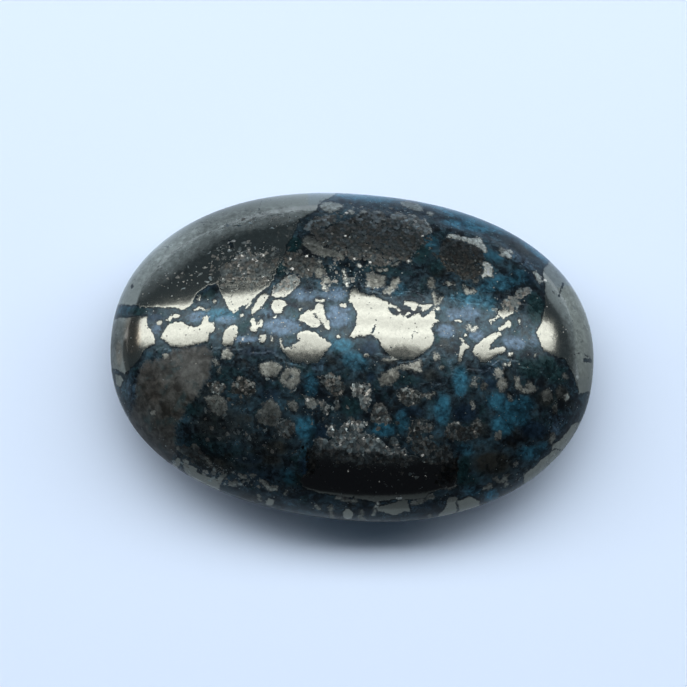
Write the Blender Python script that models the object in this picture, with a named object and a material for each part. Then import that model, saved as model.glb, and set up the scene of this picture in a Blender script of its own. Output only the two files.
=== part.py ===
# Polished oval cabochon of dark blue turquoise with a pyrite matrix, lying on its flat back.
# Metres, +Z up. The origin is at the middle of the back, and X runs along the stone.
import math

import bmesh
import bpy

LENGTH = 0.0300
WIDTH = 0.0208
GIRDLE_HEIGHT = 0.0030   # from the back up to the widest line, the girdle
DOME_HEIGHT = 0.0060     # from the girdle up to the crown
BACK_INSET = 0.0016      # how far the wall under the girdle draws in before it meets the back
GIRDLE_CHAMFER = 0.00018  # flat ground along the sharp girdle
BACK_ROUNDING = 0.0004   # rounding where the wall turns into the back

# The outline is a slightly squared oval with the small waver of a hand-ground stone.
SQUARENESS = 2.19        # 2 is an ellipse, more is squarer
WAVER = (                # waves in one turn, share of the radius, angle of the first crest in degrees
    (2, 0.0062, -45.0),
    (3, 0.0041, 42.0),
    (4, 0.0038, 19.5),
)

SEGMENTS = 88            # facets round the stone
RINGS = 24               # facets from the girdle up to the crown
CREASE_ANGLE = math.radians(25.0)

STONE_COLOUR = (0.030, 0.052, 0.064, 1.0)
STONE_ROUGHNESS = 0.13
STONE_METALLIC = 0.15    # the stone is part turquoise and part pyrite


def clear_scene():
    for old in list(bpy.data.objects):
        bpy.data.objects.remove(old, do_unlink=True)


def oval_radius(angle):
    along = abs(math.cos(angle)) / (LENGTH / 2)
    across = abs(math.sin(angle)) / (WIDTH / 2)
    radius = (along ** SQUARENESS + across ** SQUARENESS) ** (-1 / SQUARENESS)
    for waves, share, crest in WAVER:
        radius *= 1 + share * math.cos(waves * (angle - math.radians(crest)))
    return radius


def girdle_outline():
    """Points of the girdle, one for each facet, fitted to the stone's length and width."""
    angles = [2 * math.pi * i / SEGMENTS for i in range(SEGMENTS)]
    xs = [oval_radius(a) * math.cos(a) for a in angles]
    ys = [oval_radius(a) * math.sin(a) for a in angles]
    middle_x = (max(xs) + min(xs)) / 2
    middle_y = (max(ys) + min(ys)) / 2
    stretch_x = LENGTH / (max(xs) - min(xs))
    stretch_y = WIDTH / (max(ys) - min(ys))
    return [((x - middle_x) * stretch_x, (y - middle_y) * stretch_y) for x, y in zip(xs, ys)]


def shape_dome(bm, outline):
    """Turn a unit sphere's upper half into the dome: each ring is the outline, drawn in."""
    bmesh.ops.create_uvsphere(bm, u_segments=SEGMENTS, v_segments=2 * RINGS, radius=1.0)
    below = [v for v in bm.verts if v.co.z < -0.001]
    bmesh.ops.delete(bm, geom=below, context="VERTS")
    for vert in bm.verts:
        turn = math.atan2(vert.co.y, vert.co.x) / (2 * math.pi) * SEGMENTS
        x, y = outline[round(turn) % SEGMENTS]
        share = math.hypot(vert.co.x, vert.co.y)
        vert.co = (x * share, y * share, GIRDLE_HEIGHT + DOME_HEIGHT * vert.co.z)


def close_underside(bm):
    """Draw the girdle down and inwards to the flat back, and close the back with one face."""
    girdle = [e for e in bm.edges if e.is_boundary]
    drawn = bmesh.ops.extrude_edge_only(bm, edges=girdle)["geom"]
    back_verts = [g for g in drawn if isinstance(g, bmesh.types.BMVert)]
    back_edges = [g for g in drawn if isinstance(g, bmesh.types.BMEdge) and g.is_boundary]
    for vert in back_verts:
        share = 1 - BACK_INSET / math.hypot(vert.co.x, vert.co.y)
        vert.co = (vert.co.x * share, vert.co.y * share, 0.0)
    bmesh.ops.holes_fill(bm, edges=back_edges, sides=SEGMENTS)
    return girdle, back_edges


def make_cabochon():
    bm = bmesh.new()
    shape_dome(bm, girdle_outline())
    girdle, back_edges = close_underside(bm)
    bmesh.ops.bevel(
        bm, geom=girdle, offset=GIRDLE_CHAMFER, segments=1, profile=0.5, affect="EDGES"
    )
    bmesh.ops.bevel(
        bm, geom=back_edges, offset=BACK_ROUNDING, segments=2, profile=0.5, affect="EDGES"
    )
    bmesh.ops.recalc_face_normals(bm, faces=bm.faces)
    mesh = bpy.data.meshes.new("turquoise_cabochon")
    bm.to_mesh(mesh)
    bm.free()
    mesh.shade_smooth()
    mesh.set_sharp_from_angle(angle=CREASE_ANGLE)
    stone = bpy.data.objects.new("turquoise_cabochon", mesh)
    bpy.context.scene.collection.objects.link(stone)
    return stone


def turquoise_material():
    material = bpy.data.materials.new("turquoise_with_pyrite")
    material.use_nodes = True
    shader = material.node_tree.nodes["Principled BSDF"]
    shader.inputs["Base Color"].default_value = STONE_COLOUR
    shader.inputs["Roughness"].default_value = STONE_ROUGHNESS
    shader.inputs["Metallic"].default_value = STONE_METALLIC
    return material


def main():
    clear_scene()
    stone = make_cabochon()
    stone.data.materials.append(turquoise_material())


main()
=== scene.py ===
import math

import bpy
import numpy as np
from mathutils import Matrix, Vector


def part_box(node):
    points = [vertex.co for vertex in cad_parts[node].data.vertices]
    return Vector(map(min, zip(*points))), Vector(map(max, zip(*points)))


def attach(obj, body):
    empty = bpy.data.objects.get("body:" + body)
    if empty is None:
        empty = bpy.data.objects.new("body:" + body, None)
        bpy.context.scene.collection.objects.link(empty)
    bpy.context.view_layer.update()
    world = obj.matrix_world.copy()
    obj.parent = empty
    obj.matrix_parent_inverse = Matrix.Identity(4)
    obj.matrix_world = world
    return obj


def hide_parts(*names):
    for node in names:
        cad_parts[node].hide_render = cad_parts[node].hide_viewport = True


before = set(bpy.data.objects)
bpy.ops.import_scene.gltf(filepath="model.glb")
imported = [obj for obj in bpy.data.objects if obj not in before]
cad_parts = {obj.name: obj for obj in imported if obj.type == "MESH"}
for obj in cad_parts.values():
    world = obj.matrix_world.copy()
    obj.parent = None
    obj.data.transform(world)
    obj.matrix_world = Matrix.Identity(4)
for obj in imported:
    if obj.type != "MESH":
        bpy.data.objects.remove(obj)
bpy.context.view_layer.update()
mm = 0.001

# The stone. Lengths are in mm; the outline is a slightly squared oval with a hand-ground waver.
stone = {
    "node": "turquoise_cabochon",
    "girdleHeight": 3.0,
    "crownAllowance": 0.03,     # kept under the solid's crown for the polish's gentle waves
    "sideAllowance": 0.01,      # kept inside the solid's sides
    "squareness": 2.19,
    # waves in one turn, share of the radius, angle of the first crest
    "waver": [(2, 0.0062, -45.0), (3, 0.0041, 42.0), (4, 0.0038, 19.5)],
    "squaresAlong": 320,
    "squaresAcross": 240,
    # how finely the outline and the dome's section are worked out
    "girdleSteps": 3601,
    "radiusSteps": (9.0, 16.0, 29),    # girdle radii from and to, and how many
    "shareSteps": 241,
    "turnSteps": 481,
    # the wall under the girdle: how far in and how high each ring is, down to the back
    "wall": [
        (0.03, 2.94), (0.48, 2.10), (0.93, 1.25), (1.33, 0.50), (1.46, 0.22), (1.62, 0.07), (1.85, 0.0),
    ],
    "backSquares": (80, 60),    # along each side, one for every four of the dome's
    "backMargin": 2.25,         # how far inside the girdle these squares end
    # slow waves left by hand polishing: how fast each runs along u and v, and where it starts
    "waves": [(0.83, 0.31, 0.4), (-0.67, 0.52, 1.9), (0.45, 1.21, 4.0)],
    "waveHeight": 0.016,
    "waveFade": (0.90, 1.0),    # they fade out over these shares of the way to the girdle
    # single swells and hollows: middle u and v, half length, half width, height
    "swells": [(3.1, -0.3, 1.9, 1.3, 0.030), (-3.0, -1.2, 1.5, 1.2, -0.012)],
    "prideOfPyrite": 0.004,     # pyrite is harder, so it stands a little proud of the turquoise
    "prideEdge": 0.06,          # half the width of the slope up to it
    "wallGrooves": 0.15,        # how much of the back's saw marks the wall has
    "creaseAngle": 16,          # degrees
}
depthLimit = 0.6    # mm; a depth in or outside a shape counts only up to here
tooFar = -1.0       # mm; a shape that is farther off leaves no mark
farAway = 9.0       # mm; where the search for the nearest edge starts
tiny = 1e-9         # keeps a division from going wrong


def girdleRadii(length, width):
    # radius of the girdle in each direction, as a table that closes on itself
    angle = np.linspace(0, 2 * np.pi, stone["girdleSteps"])
    along = np.abs(np.cos(angle)) / (length / 2)
    across = np.abs(np.sin(angle)) / (width / 2)
    power = stone["squareness"]
    radius = (along ** power + across ** power) ** (-1 / power)
    for waves, share, crest in stone["waver"]:
        radius = radius * (1 + share * np.cos(waves * (angle - math.radians(crest))))
    x, y = radius * np.cos(angle), radius * np.sin(angle)
    x = (x - (x.max() + x.min()) / 2) * length / np.ptp(x)
    y = (y - (y.max() + y.min()) / 2) * width / np.ptp(y)
    direction = np.unwrap(np.arctan2(y, x))
    return direction, np.hypot(x, y)


def radiusAt(angle, table):
    direction, radius = table
    return np.interp((angle - direction[0]) % (2 * np.pi) + direction[0], direction, radius)


def discOfSquares(along, across):
    # a grid of squares bent into a round disc, so that the squares stay near one size
    a, b = np.meshgrid(np.linspace(-1, 1, along + 1), np.linspace(-1, 1, across + 1))
    a, b = a.ravel(), b.ravel()
    wide = np.abs(a) >= np.abs(b)
    safeA = np.where(np.abs(a) > tiny, a, 1.0)
    safeB = np.where(np.abs(b) > tiny, b, 1.0)
    angle = np.where(wide, np.pi / 4 * b / safeA, np.pi / 2 - np.pi / 4 * a / safeB)
    angle = angle + np.where(np.where(wide, a, b) < 0, np.pi, 0.0)
    return np.maximum(np.abs(a), np.abs(b)), angle


def domeTurn(share, radius, height):
    # how far round the dome's elliptic section a point is, for a share of the way along the surface
    radii = np.linspace(*stone["radiusSteps"])
    shares = np.linspace(0, 1, stone["shareSteps"])
    turn = np.linspace(0, np.pi / 2, stone["turnSteps"])
    turns, lengths = [], []
    for r in radii:
        speed = np.hypot(r * np.cos(turn), height * np.sin(turn))
        arc = np.concatenate([[0], np.cumsum((speed[1:] + speed[:-1]) / 2 * np.diff(turn))])
        turns.append(np.interp(shares, arc / arc[-1], turn))
        lengths.append(arc[-1])
    turns = np.array(turns)
    lastStep = 1.001    # just over one, so that the next entry is still in the table
    i = np.clip((radius - radii[0]) / (radii[1] - radii[0]), 0, len(radii) - lastStep)
    j = np.clip(share * (len(shares) - 1), 0, len(shares) - lastStep)
    i0, j0 = i.astype(int), j.astype(int)
    fi, fj = i - i0, j - j0
    near = turns[i0, j0] * (1 - fj) + turns[i0, j0 + 1] * fj
    far = turns[i0 + 1, j0] * (1 - fj) + turns[i0 + 1, j0 + 1] * fj
    return near * (1 - fi) + far * fi, np.interp(radius, radii, lengths)


# What is seen on the polished dome, placed in mm along the surface from the crown:
# u runs along the stone to the right, v across it, away from the camera.
# Pyrite polished like a mirror: how bright it is, then its corners.
mirrorPyrite = [
    # the big mass over the whole upper left shoulder, with the fang that hangs from it
    (1.0, [(-18.5, 2.9), (-16.3, 2.45), (-15.4, 2.2), (-14.6, 1.95), (-14.0, 1.85), (-13.3, 1.6),
      (-12.4, 1.52), (-11.8, 1.42), (-10.9, 1.36), (-10.68, 1.2), (-10.4, 1.22), (-10.0, 1.55),
      (-9.9, 2.1), (-9.5, 2.5), (-9.0, 2.8), (-8.55, 2.95), (-8.3, 2.4), (-7.98, 1.9), (-7.8, 1.45),
      (-7.5, 1.05), (-7.3, 0.88), (-7.12, 0.98), (-6.95, 1.28), (-6.5, 1.45), (-6.2, 1.75),
      (-5.95, 2.1), (-5.6, 2.4), (-5.25, 2.75), (-4.98, 3.2), (-4.9, 3.8), (-4.7, 4.4), (-4.45, 5.0),
      (-4.5, 5.6), (-4.2, 6.2), (-4.0, 7.0), (-3.9, 7.7), (-3.35, 8.2), (-2.86, 8.6), (-2.8, 9.3),
      (-2.5, 9.8), (-2.15, 10.3), (-1.88, 11.0), (-1.9, 12.5), (-2.0, 18.0), (-18.5, 18.0)]),
    # the left end, under the dark blue seam
    (1.0, [(-18.5, 1.42), (-16.2, 1.35), (-14.6, 1.05), (-13.1, 0.95), (-12.95, 0.3), (-12.65, -0.1),
      (-12.4, -0.45), (-12.35, -0.9), (-13.1, -1.25), (-13.45, -1.8), (-14.2, -2.35), (-14.7, -2.6),
      (-15.6, -2.25), (-16.3, -2.05), (-18.5, -1.9)]),
    (1.0, [(-15.85, -2.5), (-15.1, -2.75), (-14.9, -3.05), (-15.3, -3.4), (-15.9, -3.3)]),
    # flakes in the left half of the light band
    (1.0, [(-11.68, 0.55), (-11.5, 0.78), (-11.1, 0.95), (-10.85, 0.9), (-10.68, 0.76), (-10.95, 0.66),
      (-11.2, 0.68), (-11.4, 0.5)]),
    (1.0, [(-11.95, -0.55), (-11.85, -0.25), (-11.6, 0.05), (-11.5, 0.3), (-11.1, 0.4), (-10.6, 0.4),
      (-10.3, 0.2), (-9.95, 0.15), (-9.7, 0.02), (-9.45, 0.12), (-9.25, 0.25), (-9.22, 0.6),
      (-9.05, 0.76), (-8.85, 0.65), (-8.85, 0.35), (-8.55, 0.3), (-8.4, 0.0), (-8.42, -0.25),
      (-8.75, -0.35), (-8.8, -0.65), (-8.85, -0.9), (-9.4, -1.05), (-10.0, -1.15), (-10.6, -1.2),
      (-11.2, -1.1), (-11.6, -0.8)]),
    (1.0, [(-6.15, 0.85), (-6.2, 1.15), (-5.95, 1.65), (-5.65, 2.15), (-5.4, 2.2), (-5.2, 2.05),
      (-5.3, 1.75), (-5.6, 1.35), (-5.9, 1.0)]),
    (1.0, [(-5.0, 1.3), (-4.95, 1.7), (-4.6, 1.85), (-4.25, 1.75), (-4.05, 1.5), (-4.25, 1.35),
      (-4.3, 1.0), (-4.6, 0.9), (-4.85, 1.0)]),
    (1.0, [(-5.05, 2.05), (-4.95, 2.55), (-4.6, 2.9), (-4.3, 3.3), (-3.9, 3.5), (-3.5, 3.3),
      (-3.3, 3.0), (-3.6, 2.7), (-3.75, 2.4), (-4.1, 2.05), (-4.6, 1.95)]),
    (1.0, [(-6.2, 0.45), (-6.05, 0.6), (-5.85, 0.38), (-5.65, 0.4), (-5.5, 0.5), (-5.38, 0.35),
      (-5.5, 0.05), (-5.75, -0.02), (-5.85, -0.32), (-6.05, -0.25), (-6.3, -0.05), (-6.1, 0.1)]),
    (1.0, [(-7.88, -1.0), (-7.8, -0.4), (-7.65, -0.05), (-7.2, 0.15), (-7.0, 0.05), (-6.95, -0.35),
      (-7.15, -0.85), (-7.35, -1.15), (-7.65, -1.2)]),
    (1.0, [(-5.62, -0.85), (-5.55, -0.45), (-5.25, -0.45), (-5.15, -0.75), (-5.4, -1.02)]),
    (1.0, [(-3.32, 0.55), (-3.05, 0.95), (-2.7, 1.25), (-2.52, 1.18), (-2.3, 0.8), (-2.0, 0.48),
      (-1.85, 0.28), (-2.1, 0.15), (-2.45, 0.1), (-2.9, 0.4)]),
    (1.0, [(-2.42, 1.15), (-2.3, 1.5), (-2.15, 1.7), (-1.85, 1.62), (-1.75, 1.1), (-1.6, 0.7),
      (-1.4, 0.5), (-1.33, 0.15), (-1.4, 0.0), (-1.6, 0.1), (-1.75, 0.38), (-1.95, 0.62), (-2.2, 0.9)]),
    (1.0, [(-0.85, 1.62), (-0.7, 1.5), (-0.5, 1.45), (-0.38, 1.6), (-0.5, 1.75), (-0.75, 1.7)]),
    (1.0, [(-4.1, -1.35), (-3.75, -1.8), (-3.35, -2.1), (-2.9, -2.05), (-2.4, -2.12), (-2.0, -2.02),
      (-1.7, -1.65), (-1.45, -1.25), (-1.18, -0.98), (-1.25, -0.75), (-1.6, -0.6), (-2.0, -0.4),
      (-2.25, -0.15), (-2.6, -0.1), (-3.05, -0.15), (-3.35, -0.35), (-3.22, -0.62), (-3.1, -0.8),
      (-3.5, -0.98), (-3.8, -1.18)]),
    # the large bright field right of the middle
    (1.0, [(-0.3, 1.85), (-0.25, 2.7), (0.1, 2.8), (0.35, 2.5), (0.9, 2.35), (1.2, 2.42), (1.6, 2.15),
      (2.05, 2.0), (2.1, 1.55), (2.4, 1.2), (2.9, 1.25), (3.3, 1.0), (3.7, 1.3), (4.0, 1.5),
      (4.2, 1.15), (4.5, 1.4), (4.8, 1.75), (5.0, 1.6), (5.0, 1.2), (5.22, 1.05), (4.95, 0.9),
      (4.75, 0.5), (4.9, 0.3), (4.95, -0.2), (4.87, -0.5), (4.5, -0.85), (4.15, -1.2), (3.7, -1.48),
      (3.2, -1.52), (2.6, -1.5), (2.1, -1.15), (1.8, -0.72), (1.65, -0.4), (1.3, -0.2), (0.9, -0.2),
      (0.7, -0.36), (0.5, -0.2), (0.1, -0.46), (-0.12, -0.35), (0.0, -0.1), (0.2, 0.3), (0.25, 0.9),
      (0.2, 1.3), (0.02, 1.5), (-0.15, 1.8)]),
    (1.0, [(3.0, 1.85), (3.08, 2.15), (3.6, 2.17), (4.0, 2.02), (4.4, 2.06), (4.75, 2.12), (4.75, 1.92),
      (4.5, 1.78), (4.25, 1.58), (4.1, 1.62), (4.18, 1.8), (3.9, 1.92), (3.72, 1.6), (3.55, 1.6),
      (3.45, 1.8), (3.2, 1.9)]),
    # flakes in the right half of the light band
    (1.0, [(8.87, 2.3), (8.98, 1.85), (9.25, 1.68), (9.5, 1.95), (9.75, 2.15), (9.95, 2.32),
      (9.8, 2.46), (9.5, 2.36), (9.3, 2.5), (9.1, 2.25)]),
    (1.0, [(8.95, 1.0), (9.15, 0.93), (9.4, 1.15), (9.75, 1.3), (9.82, 1.5), (9.6, 1.7), (9.4, 1.5),
      (9.2, 1.25), (8.95, 1.12)]),
    (1.0, [(7.38, -0.6), (7.6, -0.2), (7.95, 0.2), (8.5, 0.62), (9.0, 0.88), (9.17, 0.7), (8.9, 0.45),
      (8.6, 0.15), (8.45, -0.15), (8.45, -0.4), (8.7, -0.3), (8.9, -0.15), (9.4, -0.1), (9.5, -0.2),
      (9.35, -0.45), (9.0, -0.57), (8.75, -0.7), (8.5, -1.05), (8.2, -1.2), (7.9, -1.15),
      (7.6, -0.88)]),
    (1.0, [(6.6, -1.5), (6.52, -1.0), (6.63, -0.4), (6.68, -0.15), (7.0, -0.2), (7.2, -0.4),
      (6.95, -0.52), (6.8, -0.9), (6.7, -1.3)]),
    # the mass over the right end
    (1.0, [(18.5, 9.8), (15.2, 8.6), (13.3, 7.5), (12.9, 6.9), (12.5, 6.4), (12.15, 6.0), (12.05, 5.5),
      (12.05, 5.0), (12.1, 4.6), (12.05, 4.0), (12.1, 3.2), (11.9, 2.5), (11.8, 1.86), (11.6, 1.5),
      (11.45, 1.2), (11.6, 0.9), (11.75, 0.6), (11.9, 0.3), (12.1, 0.12), (12.5, 0.0), (13.6, -0.1),
      (13.95, -0.5), (14.3, -0.9), (14.6, -1.3), (14.72, -1.6), (14.95, -1.8), (15.02, -2.1),
      (15.6, -1.9), (16.2, -1.7), (18.5, -1.5)]),
    # flakes that the lower right edge cuts through
    (1.0, [(18.5, -3.2), (16.2, -3.85), (15.3, -4.0), (14.9, -4.3), (14.7, -4.7), (14.4, -5.1),
      (14.1, -5.4), (13.7, -5.6), (13.6, -5.8), (13.85, -6.1), (13.5, -6.4), (13.1, -6.7), (12.8, -7.2),
      (12.3, -7.6), (12.12, -7.95), (12.6, -8.45), (15.5, -10.5), (18.5, -8.0)]),
    (1.0, [(7.0, -9.95), (7.5, -9.75), (7.95, -10.1), (8.5, -9.7), (9.0, -9.9), (9.6, -10.2),
      (10.2, -10.95), (11.5, -13.5), (7.8, -14.5), (7.25, -12.2), (7.0, -11.5), (7.2, -10.9),
      (7.1, -10.3)]),
    (1.0, [(2.4, -11.15), (2.7, -10.9), (3.2, -10.72), (4.0, -10.32), (4.35, -10.3), (4.75, -11.3),
      (4.3, -11.3), (3.9, -11.72), (3.5, -11.72), (3.0, -11.5), (2.5, -11.4)]),
    (1.0, [(0.1, -11.8), (0.3, -11.45), (0.6, -11.45), (0.85, -11.9), (0.8, -12.6), (0.4, -12.8),
      (0.15, -12.4)]),
    (1.0, [(-5.65, -11.75), (-5.4, -11.3), (-5.1, -11.0), (-4.75, -11.1), (-4.9, -11.5),
      (-5.2, -11.85)]),
    # flakes that the lower left edge cuts through
    (1.0, [(-12.8, -9.2), (-11.8, -8.5), (-11.2, -8.2), (-11.05, -8.35), (-11.3, -8.7), (-11.9, -9.0),
      (-12.4, -9.5)]),
    (1.0, [(-11.25, -9.1), (-11.0, -8.75), (-10.4, -8.7), (-9.8, -8.95), (-10.1, -9.15), (-9.9, -9.35),
      (-9.2, -9.5), (-8.6, -9.6), (-8.0, -9.2), (-7.45, -9.0), (-7.9, -9.4), (-8.4, -9.9),
      (-8.7, -10.3), (-9.0, -10.75), (-9.8, -12.5), (-12.5, -11.0), (-11.3, -9.7)]),
    # the dark mirror near the lower edge
    (1.0, [(-2.15, -8.6), (-2.1, -7.6), (-1.9, -6.9), (-1.5, -6.65), (-1.0, -6.7), (-0.6, -6.9),
      (0.1, -6.95), (0.2, -6.45), (0.9, -6.45), (1.2, -6.3), (1.9, -6.5), (2.5, -6.8), (3.0, -7.1),
      (3.4, -7.0), (3.8, -7.3), (4.4, -7.25), (5.0, -7.45), (5.6, -7.25), (6.2, -7.5), (6.9, -7.3),
      (7.1, -7.8), (7.2, -8.5), (7.3, -9.0), (6.6, -9.2), (5.6, -9.6), (5.5, -10.0), (4.6, -10.2),
      (3.3, -10.3), (2.3, -10.6), (1.5, -10.5), (0.5, -10.4), (-0.5, -10.3), (-1.5, -10.2),
      (-2.5, -9.9), (-2.8, -9.5), (-2.5, -9.0)]),
]
# Pyrite with a satin face: how bright it is, partly its own tone and partly painted highlight and shade for
# how its tilt catches the lamp, then its corners.
satinPyrite = [
    # round the top of the dome
    (1.0, [(-2.68, 9.1), (-2.5, 9.55), (-2.0, 9.75), (-1.5, 9.55), (-1.2, 9.2), (-1.4, 8.8),
      (-1.9, 8.5), (-2.4, 8.7)]),
    (1.0, [(2.15, 8.8), (2.35, 9.02), (2.65, 8.98), (3.0, 8.6), (2.95, 8.25), (2.55, 8.3)]),
    (1.0, [(3.1, 8.6), (3.2, 8.9), (3.6, 8.9), (3.8, 8.6), (3.6, 8.3), (3.3, 8.25)]),
    (1.7, [(3.8, 8.3), (4.2, 8.5), (4.4, 8.2), (4.65, 7.4), (4.4, 7.3), (4.2, 7.7)]),
    (1.0, [(2.8, 10.0), (2.7, 10.5), (3.2, 10.95), (3.8, 10.6), (4.2, 10.0), (4.1, 9.5), (3.6, 9.5),
      (3.1, 9.8)]),
    (1.0, [(0.7, 8.6), (0.9, 8.95), (1.35, 8.95), (1.5, 8.6), (1.2, 8.3), (0.85, 8.3)]),
    (2.6, [(5.65, 7.1), (5.8, 7.3), (6.3, 7.4), (6.7, 7.25), (7.2, 7.3), (7.8, 7.4), (7.9, 7.1),
      (7.75, 6.95), (8.0, 6.85), (8.15, 6.5), (8.05, 6.25), (7.8, 6.55), (7.4, 6.75), (7.0, 6.8),
      (7.0, 6.98), (6.6, 6.98), (6.2, 7.05)]),
    (2.8, [(7.78, 5.4), (8.1, 5.5), (8.4, 5.2), (8.5, 4.9), (8.4, 4.6), (8.5, 4.45), (8.15, 4.55),
      (7.9, 4.35), (7.78, 4.5), (8.0, 4.75), (8.05, 5.05)]),
    (1.0, [(6.7, 3.6), (6.78, 3.0), (7.2, 3.15), (7.5, 3.3), (7.3, 3.5), (7.0, 3.35)]),
    (1.8, [(11.3, 5.4), (11.55, 5.55), (11.75, 5.3), (11.9, 4.85), (11.7, 4.72), (11.5, 5.0)]),
    # above the bright field
    (0.75, [(0.72, 2.95), (0.7, 3.8), (1.2, 3.8), (1.8, 3.7), (1.75, 3.0), (1.1, 2.85)]),
    (1.0, [(1.8, 2.65), (2.1, 2.5), (2.35, 2.8), (2.75, 3.5), (2.65, 3.75), (2.35, 3.6), (2.1, 3.1)]),
    # under the light band
    (1.0, [(-5.5, -2.5), (-5.3, -2.2), (-4.8, -2.1), (-4.3, -2.2), (-4.1, -2.5), (-4.3, -2.8),
      (-4.7, -3.02), (-5.2, -3.0)]),
    (1.0, [(-4.1, -2.8), (-3.8, -2.5), (-3.3, -2.45), (-3.0, -2.6), (-3.05, -3.0), (-3.0, -3.35),
      (-3.4, -3.7), (-4.0, -3.45), (-4.2, -3.1)]),
    (1.0, [(-7.85, -1.6), (-7.5, -1.4), (-7.25, -1.7), (-7.4, -1.95), (-7.8, -1.95)]),
    (0.62, [(1.78, -2.85), (1.95, -2.5), (2.4, -2.2), (2.9, -2.05), (3.02, -2.4), (2.9, -2.8),
      (2.5, -3.1), (2.0, -3.2)]),
    (1.0, [(3.0, -1.95), (3.3, -1.85), (3.8, -1.7), (4.2, -1.48), (4.27, -1.9), (4.32, -2.2),
      (4.0, -2.2), (3.6, -2.02), (3.2, -2.1)]),
    (1.0, [(8.85, -1.85), (8.95, -1.5), (9.2, -1.45), (9.4, -1.65), (9.3, -1.95), (9.05, -2.05)]),
    (0.8, [(-5.1, -4.7), (-4.7, -4.4), (-4.3, -4.6), (-4.0, -5.2), (-4.3, -5.9), (-4.9, -5.9),
      (-5.4, -5.75), (-5.3, -5.2)]),
    (1.0, [(-8.8, -4.35), (-8.2, -4.2), (-7.6, -4.4), (-7.4, -4.8), (-7.5, -5.3), (-8.0, -5.4),
      (-8.5, -5.0)]),
    (0.6, [(-6.95, -3.5), (-6.5, -3.1), (-6.2, -3.3), (-5.9, -3.6), (-6.3, -4.0), (-6.8, -3.9)]),
    (1.0, [(-3.6, -4.5), (-3.3, -4.4), (-3.05, -4.7), (-3.1, -5.05), (-3.45, -5.0)]),
    (1.5, [(-2.6, -4.25), (-2.2, -4.2), (-1.75, -4.4), (-1.85, -4.7), (-2.4, -4.75)]),
    (1.0, [(10.2, -1.75), (10.42, -1.8), (10.5, -2.2), (10.8, -2.5), (11.1, -2.5), (11.0, -2.2),
      (11.15, -2.0), (11.45, -2.2), (11.75, -2.4), (11.5, -2.65), (11.0, -2.7), (10.5, -2.62),
      (10.22, -2.3)]),
    (0.6, [(12.1, -2.5), (12.5, -2.25), (12.9, -2.5), (12.8, -2.95), (12.3, -3.0)]),
    (1.0, [(13.2, -5.4), (13.25, -5.0), (13.55, -4.95), (13.65, -5.35), (13.4, -5.55)]),
    (1.0, [(10.35, -8.5), (10.6, -7.95), (10.85, -8.0), (10.85, -8.45), (10.6, -8.6)]),
    (1.0, [(9.3, -9.05), (9.6, -8.7), (9.85, -8.7), (9.95, -9.0), (9.65, -9.1)]),
    (0.75, [(4.6, -10.4), (5.3, -10.1), (5.58, -10.3), (5.0, -10.62), (4.7, -10.66)]),
    (1.4, [(-5.5, -9.5), (-5.2, -9.5), (-4.9, -9.9), (-4.3, -9.95), (-4.4, -10.2), (-4.9, -10.3),
      (-5.25, -9.95)]),
    (1.0, [(-10.9, -8.35), (-10.6, -8.25), (-10.38, -8.35), (-10.5, -8.6), (-10.8, -8.68)]),
    (0.7, [(-7.8, -9.95), (-7.6, -9.7), (-7.2, -9.62), (-7.12, -10.0), (-7.6, -10.15)]),
    (0.8, [(-3.4, 6.2), (-3.4, 5.7), (-3.0, 5.3), (-2.6, 5.0), (-2.0, 4.85), (-1.2, 4.9), (-0.9, 4.7),
      (-0.7, 5.0), (-1.2, 5.3), (-2.0, 5.5), (-2.6, 6.0), (-3.0, 6.4)]),
    # on the wall, at the back and in front
    (0.9, [(1.3, 12.9), (1.1, 13.9), (1.9, 14.5), (2.9, 14.4), (3.4, 13.6), (2.7, 12.9), (1.9, 12.7)]),
    (0.8, [(7.4, 13.9), (7.9, 14.6), (8.5, 14.4), (8.6, 13.7), (8.0, 13.4)]),
    (1.0, [(-0.4, 15.5), (0.2, 16.1), (0.9, 15.9), (0.7, 15.3), (0.1, 15.1)]),
    (0.9, [(-4.8, -14.6), (-3.9, -13.6), (-2.7, -13.5), (-2.4, -14.3), (-3.0, -15.3), (-4.1, -15.5)]),
    (0.8, [(1.3, -15.2), (1.7, -14.8), (2.3, -15.0), (2.4, -15.6), (1.8, -15.9)]),
    (1.0, [(4.7, -13.6), (5.5, -13.2), (6.1, -13.8), (5.7, -14.4), (5.0, -14.3)]),
]
# Slivers: brightness (for the satin ones partly painted highlight and shade from their tilt), width, then
# the points they run through.
mirrorSlivers = [
    (1.0, 0.13, [(-9.82, 1.12), (-9.45, 1.3), (-9.08, 1.08)]),
    (1.0, 0.12, [(-6.5, 1.28), (-6.25, 1.6)]),
    (1.0, 0.12, [(-2.38, 1.85), (-2.05, 1.8), (-1.78, 1.86)]),
    (1.0, 0.15, [(-2.05, 1.8), (-2.1, 1.68)]),
    (1.0, 0.12, [(-4.24, -0.75), (-4.2, -1.2), (-4.05, -1.42)]),
    (1.0, 0.13, [(2.42, 1.75), (2.6, 1.68), (2.85, 1.45), (2.78, 1.2)]),
    (1.0, 0.12, [(3.1, 1.22), (3.4, 1.42)]),
    (1.0, 0.14, [(8.42, 1.42), (8.8, 1.7), (9.0, 2.0)]),
    (1.0, 0.2, [(8.38, 1.5), (8.45, 1.36)]),
    (1.0, 0.12, [(6.6, 0.12), (6.8, -0.05)]),
    (1.0, 0.14, [(6.3, 1.2), (6.55, 1.24)]),
    (1.0, 0.17, [(9.68, -0.55), (9.92, -0.45)]),
    (1.0, 0.11, [(10.28, 1.85), (10.32, 1.62)]),
    (1.0, 0.14, [(11.45, -0.22), (11.46, -0.36)]),
    (1.0, 0.1, [(-4.86, -0.45), (-4.82, -0.85)]),
]
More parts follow.
